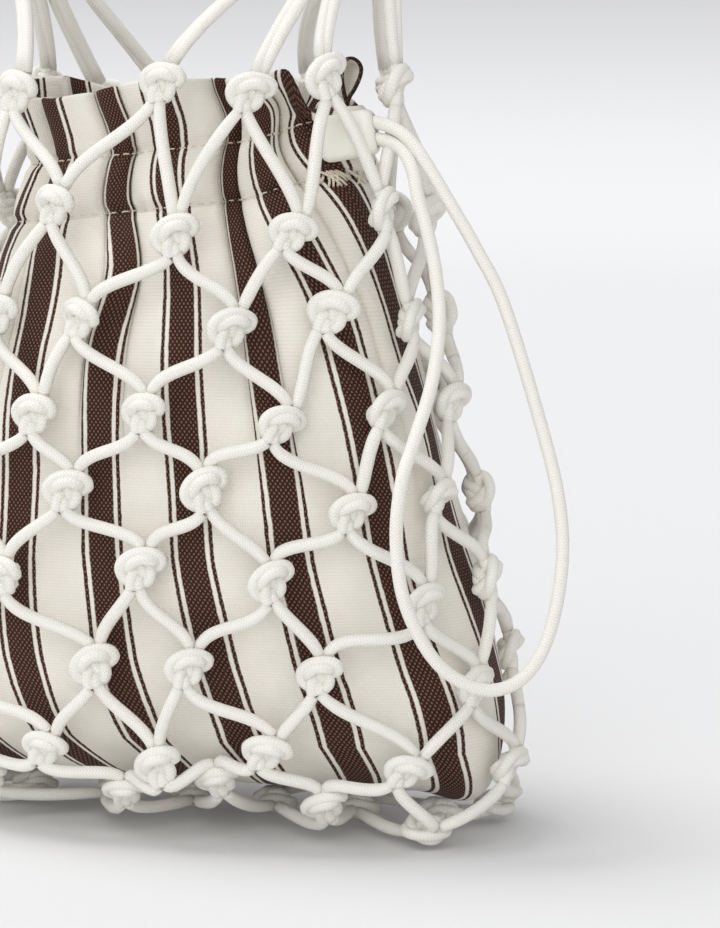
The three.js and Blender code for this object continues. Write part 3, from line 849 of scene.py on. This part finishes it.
striped_canvas, tree, shader = new_finish("yarn_dyed_cotton_canvas")
cloth_uv = add(tree, "UVMap", uv_map="cloth")
cloth_axes = add(tree, "SeparateXYZ", {0: cloth_uv})
across, up = cloth_axes.outputs[0], cloth_axes.outputs[1]
cloth_place = add(tree, "TexCoord").outputs["Object"]
wander = add(tree, "TexNoise", {"Vector": cloth_place, "Scale": 1 / EDGE_WANDER, "Detail": 1.0})
repeats = add(tree, "Math", {0: across, 1: STRIPE_REPEAT}, operation="DIVIDE")
to_stripe = add(tree, "Math", {0: repeats, 1: 0.5}, operation="PINGPONG")
from_middle = add(tree, "Math", {0: to_stripe, 1: STRIPE_REPEAT / MM}, operation="MULTIPLY")
edge = add(tree, "Math", {0: wander, 1: EDGE_SHIFT, 2: from_middle}, operation="MULTIPLY_ADD")
band_edge = BAND_HALF + EDGE_SHIFT / 2
band = add(tree, "MapRange", {0: edge, 1: band_edge + BAND_SOFT, 2: band_edge - BAND_SOFT})
line_middle = LINE_FROM_MIDDLE + EDGE_SHIFT / 2
to_line = add(tree, "Math", {0: edge, 1: line_middle}, operation="SUBTRACT")
line_far = add(tree, "Math", {0: to_line}, operation="ABSOLUTE")
line = add(tree, "MapRange", {0: line_far, 1: LINE_HALF + LINE_SOFT, 2: LINE_HALF - LINE_SOFT})
dyed = add(tree, "Math", {0: band, 1: line}, operation="MAXIMUM")

warp_phase = add(tree, "Math", {0: across, 1: math.pi / THREAD_ACROSS}, operation="MULTIPLY")
weft_phase = add(tree, "Math", {0: up, 1: math.pi / THREAD_UP}, operation="MULTIPLY")
warp_wave = add(tree, "Math", {0: warp_phase}, operation="SINE")
weft_wave = add(tree, "Math", {0: weft_phase}, operation="SINE")
over = add(tree, "Math", {0: warp_wave, 1: weft_wave}, operation="MULTIPLY")
crown_height_and_shade = add(tree, "Math", {0: over}, operation="ABSOLUTE")
weft_dot = add(tree, "MapRange", {0: over, 1: -0.15, 2: -0.7}, interpolation_type="SMOOTHSTEP")

brown = add(tree, "MixRGB", {0: weft_dot, 1: linear("#331E15"), 2: linear("#806053")})
# The cream is coloured darker where the thread crowns are low: painted shade in the gaps of the weave.
cream_with_gap_shade = add(tree, "MixRGB", {0: crown_height_and_shade, 1: linear("#E8E3D8"), 2: linear("#F4F0E6")})
cloth = add(tree, "MixRGB", {0: dyed, 1: cream_with_gap_shade, 2: brown})
slub = add(tree, "TexNoise", {"Vector": cloth_place, "Scale": 1 / SLUB_LENGTH, "Detail": 4.0})
slub_tone = add(tree, "MapRange", {0: slub, 1: 0.3, 2: 0.7, 3: 0.95, 4: 1.03})
toned = add(tree, "MixRGB", {0: 1.0, 1: cloth, 2: slub_tone}, blend_type="MULTIPLY")
weave_bump = add(tree, "Bump", {"Strength": 0.6, "Distance": WEAVE_DEPTH, "Height": crown_height_and_shade})
plug(tree, shader, {
    "Base Color": toned, "Normal": weave_bump, "Roughness": 0.92, "Specular IOR Level": 0.25,
    "Sheen Weight": 0.04,
})
print("made", striped_canvas.name, "with", len(tree.nodes), "nodes")

# %% [markdown]
# ## The canvas pouch
# The pouch is a flat sewn bag that has been filled and then drawn in by its string. It is lofted as a
# grid whose columns are threads of the flat cloth, so the stripes can't smear. A cloth simulation
# could draw the mouth in, but the places of the folds are plain in the picture, so they are worked
# out: where the bag is narrower than its cloth, the spare cloth goes into a fold between each two
# stripes. The fold's curve keeps its length, so a fold gets as deep as its spare cloth makes it.

# %% Where the stripes run
STRIPES = 15
STRIPE_START = 0.2
STRIPE_TURNS = np.array([
    # height, how far the stripes are turned there, in stripes
    (13.4, -0.8), (19, -0.68), (33, -0.38), (45, -0.28), (60, -0.17), (95, -0.03), (120, 0),
    (146, 0.05), (192, 0.12),
])
DRAWN_STRIPES = np.array([
    # place at the casing in stripes, slide at the neck, lean at the rim
    (1.01, 0, 0.55), (1.9, 0.12, 0.35), (2.59, 0.05, 0.3), (3.64, -0.15, 0.15), (4.67, -0.4, 0.02),
    (5.93, -0.14, 0), *((5.93 + 0.93 * k, 0, 0) for k in range(1, STRIPES - 5)),
])
NECK_HEIGHT, NECK_SPREAD = 190, 18
CASING_LOW, CASING_HIGH, RIM_HEIGHT = 203, 222, 247
GATHER_FROM, HEADING_FROM = 165, 224
SWAY_LENGTH = 9
gathering = np.random.default_rng(3)
STRIPE_SWAY = gathering.uniform(-0.12, 0.12, STRIPES)
SWAY_START = gathering.uniform(0, 2 * math.pi, STRIPES)


def ease(value, low, high):
    t = np.clip((value - low) / (high - low), 0, 1)
    return t * t * (3 - 2 * t)


def stripe_shares(height):
    """The share of the girth where each stripe's middle lies at a height."""
    even = np.arange(STRIPES) + STRIPE_START + np.interp(height, *STRIPE_TURNS.T)
    drawn = ease(height, GATHER_FROM, CASING_HIGH)
    sway = STRIPE_SWAY * np.sin(height / SWAY_LENGTH + SWAY_START) * drawn
    place, slide, lean = DRAWN_STRIPES.T
    bent = slide * math.exp(-((height - NECK_HEIGHT) / NECK_SPREAD) ** 2)
    bent = bent + lean * ease(height, HEADING_FROM, RIM_HEIGHT)
    return (even * (1 - drawn) + place * drawn + sway + bent) / STRIPES


print("stripes at the casing, as shares:", np.round(stripe_shares(CASING_HIGH), 3))

# %% How spare cloth folds
COLUMNS_A_STRIPE = 20
POUCH_COLUMNS = STRIPES * COLUMNS_A_STRIPE
CLOTH_STRIPE = STRIPE_REPEAT / MM
FRONT_FOLDS = [
    # place between two stripes, share of the spare cloth, lean
    (0.50, 0.60, 0.15), (0.80, 0.75, -0.30), (0.22, 0.60, 0.30), (0.70, 0.60, 0.20),
    (0.26, 0.70, 0.35),
]
# The same three for the hidden folds: between which values they are drawn.
HIDDEN_FOLDS = ((0.3, 0.7), (0.45, 0.75), (-0.3, 0.3))
FOLDS = np.vstack([FRONT_FOLDS, np.column_stack([
    gathering.uniform(low, high, STRIPES - len(FRONT_FOLDS)) for low, high in HIDDEN_FOLDS])])
FOLDS_FROM, FOLDS_FULL = 95, 160
LEAST_SPARE = 0.3
SHARPNESS = 0.95
CURVE_REACH = 6
curve_at = np.linspace(0, CURVE_REACH, 100 * CURVE_REACH + 1)
curve_slope = np.sqrt(1 - (1 - SHARPNESS / np.cosh(curve_at) ** 2) ** 2)
fold_curve = np.cumsum(curve_slope[::-1])[::-1] * curve_at[1]


def lay_cloth(height, girth):
    """For each column of the cloth, its share of the girth and how far it stands out there."""
    columns = np.arange(POUCH_COLUMNS + 1) / COLUMNS_A_STRIPE
    middles = stripe_shares(height) * girth
    middles = np.append(middles, middles[0] + girth)
    folded = ease(height, FOLDS_FROM, FOLDS_FULL)
    spare = FOLDS[:, 1] * folded * np.maximum(CLOTH_STRIPE - np.diff(middles), 0)
    width = np.maximum(spare, LEAST_SPARE) / (2 * SHARPNESS)
    along, deep, leaning = columns * CLOTH_STRIPE, 0, 0
    for lap in (-STRIPES, 0, STRIPES):
        away = (columns[:, None] - np.arange(STRIPES) - FOLDS[:, 0] - lap) * CLOTH_STRIPE / width
        along = along - (spare * np.tanh(away) / 2).sum(1)
        depth = width * np.interp(np.abs(away), curve_at, fold_curve, right=0) * (spare > LEAST_SPARE)
        deep = deep + depth.sum(1)
        leaning = leaning + (FOLDS[:, 2] * depth).sum(1)
    placed = np.interp(along, along[::COLUMNS_A_STRIPE], middles) + leaning
    return placed / girth, np.mean(deep) - deep


print("folds take", np.round(FOLDS[:, 1], 2), "of the spare cloth")

# %% Rim, casing and slow waves
SEAM_PINCH = 1.6
SEAM_WIDTH = 1.7
CASING_PUFF = 1.9
PUCKER = 0.8
PUCKER_LENGTH = 8.3
PUCKER_REACH = 5
PUCKER_DRIFT = 8
CALM_FROM, CALM_TO = 150, 205
WAVES_FROM, WAVES_FULL = 14, 40
SLOW_WAVES = [
    # height of the wave, waves round the bag, how it leans on the way up, start
    (1.1, 3, 23, 0), (0.8, 5, -17, 1.3), (0.5, 9, 11, 0.4),
]
RIM_TABLE = np.array([
    # share of the girth, height of the rim
    (0.0, 235), (0.06, 235), (0.077, 236), (0.085, 239), (0.094, 246), (0.103, 251), (0.133, 249),
    (0.168, 247.5), (0.254, 247.5), (0.292, 246), (0.338, 243), (0.388, 240.5), (0.43, 241),
    (0.5, 245), (0.56, 248), (0.63, 243.5), (0.7, 247), (0.77, 244), (0.84, 248), (0.9, 244),
    (0.93, 245), (0.945, 239), (0.96, 235), (1.0, 235),
])


def casing_shape(height):
    """Cloth drawn in along the two seams, with the casing puffed up between them and small puckers."""
    seams, near = (sum(math.exp(-((height - seam) / reach) ** 2) for seam in (CASING_LOW, CASING_HIGH))
                   for reach in (SEAM_WIDTH, PUCKER_REACH))
    puff = math.sin(math.pi * np.clip((height - CASING_LOW) / (CASING_HIGH - CASING_LOW), 0, 1))
    thread = np.arange(POUCH_COLUMNS + 1) / COLUMNS_A_STRIPE * CLOTH_STRIPE
    swell = np.sin(2 * math.pi * thread / (3 * CLOTH_STRIPE) + height / PUCKER_DRIFT)
    puckers = np.sin(2 * math.pi * thread / PUCKER_LENGTH) * swell
    return CASING_PUFF * puff - SEAM_PINCH * seams + PUCKER * near * puckers


def slow_waves(shares, height):
    """The shallow unevenness of filled cloth."""
    turn = 2 * math.pi * shares
    calm = 1 - ease(height, CALM_FROM, CALM_TO)
    waves = 0
    for size, count, lean, start in SLOW_WAVES:
        waves = waves + size * np.sin(count * turn + height / lean + start)
    return calm * waves * ease(height, WAVES_FROM, WAVES_FULL)


print("the rim runs from", RIM_TABLE[:, 1].min(), "to", RIM_TABLE[:, 1].max(), "mm")


# %% Loft the pouch
LOWER_ROWS, UPPER_ROWS = 72, 42
FINE_FROM = 192
PROFILE_POINTS = 1200
FLAT_SEAM = 0.02
ROUND_FROM = 24


def through(values, at):
    """A smooth curve through evenly numbered values."""
    slopes = np.gradient(values)
    k = np.clip(at.astype(int), 0, len(values) - 2)
    return hermite(at - k, values[k], slopes[k], values[k + 1], slopes[k + 1])


level_at = np.linspace(0, len(POUCH_LEVELS) - 1, PROFILE_POINTS)
profile = np.stack([through(POUCH_LEVELS[:, c], level_at) for c in range(3)], 1)
profile_run = run_along(profile[:, [0, 2]])
fine_run = np.interp(FINE_FROM, profile[:, 0], profile_run)
rows_at = np.concatenate([np.linspace(0, fine_run, LOWER_ROWS, endpoint=False),
                          np.linspace(fine_run, profile_run[-1], UPPER_ROWS)])
outer = np.stack([np.interp(rows_at, profile_run, profile[:, c]) for c in range(3)], 1)
rim_shares = np.arange(-90, 451) / 360
rim_heights = np.interp(np.mod(rim_shares, 1), *RIM_TABLE.T)
spread = np.hanning(9)[1:-1]
rim_heights = np.pad(rim_heights, len(spread) // 2, mode="edge")
rim_heights = np.convolve(rim_heights, spread / spread.sum(), "valid")
print("pouch profile", round(float(profile_run[-1]), 1), "mm in", len(outer), "rows")

# %% Lay the cloth round each row
DROOP = 5.0
DROOP_FROM, DROOP_FULL = 80, 102
DROOP_LOW, DROOP_HIGH = 20, 50
# The string pulls the casing up, most where it comes out at the right.
PULL_UP, PULL_TILT, PULL_END = 3.5, 5.5, 4
PULL_REACH = 50

grid = []
for height, half_width, half_depth in outer:
    half_depth = max(half_depth, FLAT_SEAM)
    girth = oval(half_width, half_depth, np.zeros(1))[2]
    shares, stand = lay_cloth(height, girth)
    points, normals, _ = oval(half_width, half_depth, shares)
    stand = (stand + slow_waves(shares, height) + casing_shape(height)) * ease(half_depth, 0, ROUND_FROM)
    moved = points + normals * stand[:, None]
    rim = np.interp(shares, rim_shares, rim_heights)
    lifted = height + max(0, height - CASING_HIGH) / (RIM_HEIGHT - CASING_HIGH) * (rim - RIM_HEIGHT)
    pulled = ease(height, CALM_FROM, CALM_TO) * (1 - ease(height, HEADING_FROM, RIM_HEIGHT))
    x = moved[:, 0]
    pull = PULL_UP + PULL_TILT * x / PULL_REACH + PULL_END * ease(x, PULL_REACH / 2, PULL_REACH)
    droop = DROOP * ease(np.abs(x), DROOP_FROM, DROOP_FULL) * (1 - ease(height, DROOP_LOW, DROOP_HIGH))
    grid.append(np.column_stack([moved, lifted + pulled * pull - droop]))
grid = np.array(grid)
print("pouch grid", grid.shape)

# %% [markdown]
# Where a cord of the net lies on the canvas it presses a soft groove. A search tree finds the
# nearest cord to each point of the cloth. Points that come too near are moved inwards, and the
# moves are spread to their neighbours so that no crease shows.

# %% Press the cords into the cloth
PRESS_REACH = 4.4
SPREADS = 4
PRESS_OVAL = (100, 40)

tree_points = np.vstack([path for *_, path in strands] + [path for knot in knots for path in knot["cords"]])
nearest = KDTree(len(tree_points))
for number, point in enumerate(tree_points):
    nearest.insert(Vector(point), number)
nearest.balance()
far = np.array([[nearest.find(Vector(point))[2] for point in line] for line in grid])
press = np.maximum(0, PRESS_REACH - far)
print("deepest press", round(float(press.max()), 2), "mm")
for _ in range(SPREADS):
    body = press[:, :-1]
    body = (np.roll(body, 1, 1) + 2 * body + np.roll(body, -1, 1)) / 4
    body[1:-1] = (body[:-2] + 2 * body[1:-1] + body[2:]) / 4
    press = np.column_stack([body, body[:, :1]])
inward = np.concatenate([-grid[..., :2] / PRESS_OVAL, 0 * grid[..., :1]], -1)
inward /= np.linalg.norm(inward, axis=-1)[..., None] + 1e-9
grid = grid + inward * press[..., None]

# %% [markdown]
# The top edge is turned in and sewn down along the lower seam, so the rim shows a soft roll and a
# second layer inside. Both follow the outer cloth: the same rows once more, set in square to it.

# %% Turn the hem
HEM_GAP = 1.5
HEM_ROWS = 36
HEM_ROLL = 6


def cloth_normals(cloth):
    """The outward normal at each point of a grid of cloth."""
    closed = np.concatenate([cloth[:, -2:-1], cloth, cloth[:, 1:2]], axis=1)
    normals = np.cross(np.gradient(cloth, axis=0), (closed[:, 2:] - closed[:, :-2]) / 2)
    return normals / (np.linalg.norm(normals, axis=-1)[..., None] + 1e-9)


outward = cloth_normals(grid)
if (outward[-1, :, 0] @ grid[-1, :, 0]) < 0:
    outward = -outward
layers, cloth_up = [*grid], [*rows_at]
for angle in np.linspace(0, math.pi, HEM_ROLL)[1:]:
    inside = outward[-1] * HEM_GAP * (1 - math.cos(angle)) / 2
    layers.append(grid[-1] - inside + UP * HEM_GAP / 2 * math.sin(angle))
    cloth_up.append(rows_at[-1] + HEM_GAP / 2 * angle)
for back in range(2, HEM_ROWS, 2):
    layers.append(grid[-back] - outward[-back] * HEM_GAP)
    cloth_up.append(2 * rows_at[-1] - rows_at[-back])
layers = np.array(layers)
print("the hem lies", HEM_GAP, "mm inside")

# %% Join the rows with faces
rows_count = len(layers)
vertex = np.arange(rows_count * POUCH_COLUMNS).reshape(rows_count, POUCH_COLUMNS)
faces, uvs = [], []
for r in range(rows_count - 1):
    for c in range(POUCH_COLUMNS):
        d = (c + 1) % POUCH_COLUMNS
        faces.append((vertex[r, c], vertex[r + 1, c], vertex[r + 1, d], vertex[r, d]))
        for i, j in ((r, c), (r + 1, c), (r + 1, c + 1), (r, c + 1)):
            uvs += [j / COLUMNS_A_STRIPE * STRIPE_REPEAT, cloth_up[i] * MM]
print("cloth and hem have", len(faces), "faces")

# %% [markdown]
# At the right side seam the hem is left open, because the string runs out there. Seen from the front,
# the end of the hem behind the seam stands up as a narrow loop of canvas with a brown edge. It is one
# more strip of the same cloth, which is led up, over and down again, and it goes into the same mesh.

# %% The open end of the hem
LOOP_FOOT = np.array([55.8, -3, 239.2])
LOOP_ACROSS, LOOP_IN = np.array([0.8, 0.6, 0]), np.array([-0.8, 0.6, 0])
LOOP_LINE = [
    # across, up
    (0.6, -6), (0, 0), (-1.1, 4.2), (-1.8, 8.7), (-1.5, 13), (-0.3, 15.3), (1.9, 16), (4.4, 14.6),
    (5.6, 12), (4.9, 8.6), (3.1, 5), (0.9, 1.2), (0.8, -5),
]
LOOP_DEPTHS = np.array([0, 1.5, 4, 7, 10])
LOOP_BROWN = 1.2
LOOP_STEPS = 4

loop_path = smooth_path([LOOP_FOOT + x * LOOP_ACROSS + z * UP for x, z in LOOP_LINE], LOOP_STEPS)
loop_run = run_along(loop_path)
loop_edge = LINE_FROM_MIDDLE + LINE_HALF - LOOP_BROWN
loop_points = loop_path[:, None] + LOOP_DEPTHS[:, None] * LOOP_IN
loop_vertex = vertex.size + np.arange(loop_points[..., 0].size).reshape(loop_points.shape[:2])
for r in range(len(loop_path) - 1):
    for c in range(len(LOOP_DEPTHS) - 1):
        corners = ((r, c), (r + 1, c), (r + 1, c + 1), (r, c + 1))
        faces.append(tuple(loop_vertex[corner] for corner in corners))
        for i, j in corners:
            uvs += [(loop_edge + LOOP_DEPTHS[j]) * MM, loop_run[i] * MM]
print("the loop is", round(float(loop_run[-1]), 1), "mm round")

# %% Sew the pouch into a mesh
CANVAS_THICKNESS = 0.9
MERGE_WITHIN = 0.05 * MM

mesh = bpy.data.meshes.new("gathered_pouch")
sewn = np.vstack([layers[:, :-1].reshape(-1, 3), loop_points.reshape(-1, 3)])
mesh.from_pydata(sewn * MM, [], faces)
mesh.uv_layers.new(name="cloth").uv.foreach_set("vector", np.array(uvs, np.float32))
mesh.materials.append(striped_canvas)
pouch = bpy.data.objects.new("gathered_pouch", mesh)
bpy.context.scene.collection.objects.link(pouch)

bpy.ops.object.select_all(action="DESELECT")
pouch.select_set(True)
bpy.context.view_layer.objects.active = pouch
bpy.ops.object.mode_set(mode="EDIT")
bpy.ops.mesh.select_all(action="SELECT")
bpy.ops.mesh.remove_doubles(threshold=MERGE_WITHIN)
bpy.ops.mesh.normals_make_consistent(inside=False)
bpy.ops.object.mode_set(mode="OBJECT")
bpy.ops.object.shade_smooth()
wall = pouch.modifiers.new("canvas thickness", "SOLIDIFY")
wall.thickness = CANVAS_THICKNESS * MM
wall.offset = -1
bpy.ops.object.modifier_apply(modifier=wall.name)
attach(pouch, "root")
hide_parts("pouch")
print("pouch has", len(pouch.data.polygons), "faces")

# %% [markdown]
# ## Stitching
# Two rows of pale thread hold the casing: one under the ruffled heading and one at its foot. A stitch
# is a short bowed tube that dips into the cloth at both ends. One stitch is a path over two places on
# the cloth's own grid, and the row is walked round with a small gap after each. The thread is twisted
# cotton, which gives the eye a dull, straw-pale line with a fine slant. The straw tone is the thread's
# own; the slant is coloured as darker grooves between the plies, which is painted shade.

# %% Cotton thread
PLY_LENGTH = 0.7 * MM

cotton_thread, tree, shader = new_finish("twisted_cotton_thread")
thread_uv = add(tree, "UVMap", uv_map="cord")
thread_axes = add(tree, "SeparateXYZ", {0: thread_uv})
ply = add(tree, "Math", {0: thread_axes.outputs[0], 1: 2 * math.pi / PLY_LENGTH}, operation="MULTIPLY")
twist = add(tree, "Math", {
    0: thread_axes.outputs[1], 1: 2 * math.pi, 2: ply,
}, operation="MULTIPLY_ADD")
strand_wave = add(tree, "Math", {0: twist}, operation="SINE")
# The thread is coloured darker along the grooves of its twist: painted shade between the plies.
twist_shade_share = add(tree, "MapRange", {0: strand_wave, 1: -1.0, 2: 0.6})
thread_tone_with_twist_shade = add(tree, "MixRGB", {0: twist_shade_share, 1: linear("#C9BBA5"), 2: linear("#EBE2D0")})
plug(tree, shader, {"Base Color": thread_tone_with_twist_shade, "Roughness": 0.7})
print("made", cotton_thread.name)

# %% Two rows of stitches
STITCH_LENGTH = 3.0
STITCH_GAP = 0.9
STITCH_AT = np.array([0, 0.2, 0.5, 0.8, 1.0])
STITCH_LIFT = np.array([-0.35, 0.25, 0.45, 0.25, -0.35])
THREAD_RADIUS = 0.25
THREAD_SIDES = 6
TACK_STITCHES = 12
TACK_RADIUS = 0.45
TACK_SHARE = 0.045
TACK_LIFT = np.array([-0.4, 0.3, 0.5, 0.3, -0.4])
TACK_OFF_CLOTH = 0.3
FAR = 100


def row_at(height):
    return int(np.argmin(np.abs(outer[:, 0] - height)))


def stitch_row(work, seam_height):
    row = row_at(seam_height)
    line = grid[row]
    run = run_along(line)
    starts = np.arange(0, run[-1] - STITCH_LENGTH, STITCH_LENGTH + STITCH_GAP)
    for start in starts:
        at = start + STITCH_LENGTH * STITCH_AT
        path, out = (np.stack([np.interp(at, run, place[:, c]) for c in range(3)], 1)
                     for place in (line, outward[row]))
        work.add(path + STITCH_LIFT[:, None] * out, THREAD_RADIUS, THREAD_SIDES)
    return len(starts)


def tack(work, seam_height, share):
    """A clump of stitches to and fro over a seam, where it is under strain."""
    row = row_at(seam_height)
    x = oval(*outer[row, 1:], np.array([share]))[0][0, 0]
    behind = grid[row, :, 1] > 0
    column = int(np.argmin(np.abs(grid[row, :, 0] - x) + FAR * behind))
    for number in range(TACK_STITCHES):
        low, high, aside = gathering.integers(1, 3, 3)
        step = number - TACK_STITCHES // 2
        sides = np.array([step, step + 4 * aside - 6]) + column
        ends = list(zip((row - low, row + high), sides % POUCH_COLUMNS))
        start, end = (grid[place] + TACK_OFF_CLOTH * outward[place] for place in ends)
        path = start + (end - start) * np.linspace(0, 1, len(TACK_LIFT))[:, None]
        work.add(path + TACK_LIFT[:, None] * outward[row, column], TACK_RADIUS, THREAD_SIDES)


work = CordWork()
counts = [stitch_row(work, seam) for seam in (CASING_LOW, CASING_HIGH)]
tack(work, CASING_LOW, TACK_SHARE)
stitching = work.make("casing_stitches", cotton_thread)
print("stitches in each row", counts)

# %% [markdown]
# ## The stopper
# A small smooth block of white plastic holds the string. It was moulded, so all its edges are round
# and two channels run in at its end. It starts as a cube of the block's size, its edges are bevelled,
# and two round bars are cut from it with a Boolean before it is tilted into place. Moulded plastic
# gives the eye a soft, even gloss, and lets a little light in.

# %% Stopper block
EDGE_ROUND = 3.4
EDGE_STEPS = 6
CHANNEL_RADIUS = 2.55
CHANNEL_DEPTH = 5
CHANNEL_SIDES = 28
SHARP_EDGE = math.radians(40)

bpy.ops.object.select_all(action="DESELECT")
bpy.ops.mesh.primitive_cube_add(size=1)
stopper = bpy.context.object
stopper.name = "stopper_block"
stopper.scale = STOPPER_SIZE * MM
bpy.ops.object.transform_apply(location=False, rotation=False, scale=True)
rounding = stopper.modifiers.new("rounded edges", "BEVEL")
rounding.width = EDGE_ROUND * MM
rounding.segments = EDGE_STEPS
rounding.limit_method = "NONE"
bpy.ops.object.modifier_apply(modifier=rounding.name)
bar_turn = (Matrix.Rotation(STOPPER_RISE, 3, "Y") @ Vector(STRAND_WAY)).to_track_quat("Z", "Y").to_euler()
for up_place in (-STRAND_SPACING / 2, STRAND_SPACING / 2):
    bpy.ops.object.select_all(action="DESELECT")
    bpy.ops.mesh.primitive_cylinder_add(
        vertices=CHANNEL_SIDES, radius=CHANNEL_RADIUS * MM, depth=2 * CHANNEL_DEPTH * MM,
        location=(end_face * MM, 0, up_place * MM), rotation=bar_turn)
    bar = bpy.context.object
    bpy.context.view_layer.objects.active = stopper
    cut = stopper.modifiers.new("channel", "BOOLEAN")
    cut.object = bar
    cut.operation = "DIFFERENCE"
    cut.solver = "EXACT"
    bpy.ops.object.modifier_apply(modifier=cut.name)
    bpy.data.objects.remove(bar)
for corner in stopper.data.vertices:
    corner.co = Vector(from_stopper(*(corner.co / MM)) * MM)
bpy.ops.object.select_all(action="DESELECT")
stopper.select_set(True)
bpy.context.view_layer.objects.active = stopper
bpy.ops.object.shade_smooth_by_angle(angle=SHARP_EDGE)
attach(stopper, "root")
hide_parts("stopper")
print("stopper has", len(stopper.data.polygons), "faces")

# %% Moulded plastic
FLOW_PATCH = 9 * MM
FLOW_DEPTH = 0.1 * MM
LIGHT_DEPTH = 4 * MM

moulded, tree, shader = new_finish("moulded_white_plastic")
plastic_place = add(tree, "TexCoord").outputs["Object"]
flow = add(tree, "TexNoise", {"Vector": plastic_place, "Scale": 1 / FLOW_PATCH, "Detail": 2.0})
plastic_tone = add(tree, "MixRGB", {0: flow, 1: linear("#F6F3E6"), 2: linear("#FBF8EE")})
plastic_gloss = add(tree, "MapRange", {0: flow, 3: 0.32, 4: 0.46})
plastic_bump = add(tree, "Bump", {"Strength": 0.1, "Distance": FLOW_DEPTH, "Height": flow})
plug(tree, shader, {
    "Base Color": plastic_tone, "Roughness": plastic_gloss, "Normal": plastic_bump, "IOR": 1.49,
    "Subsurface Weight": 0.5, "Subsurface Radius": (1.0, 0.97, 0.9), "Subsurface Scale": LIGHT_DEPTH,
})
stopper.data.materials.append(moulded)
print("made", moulded.name)
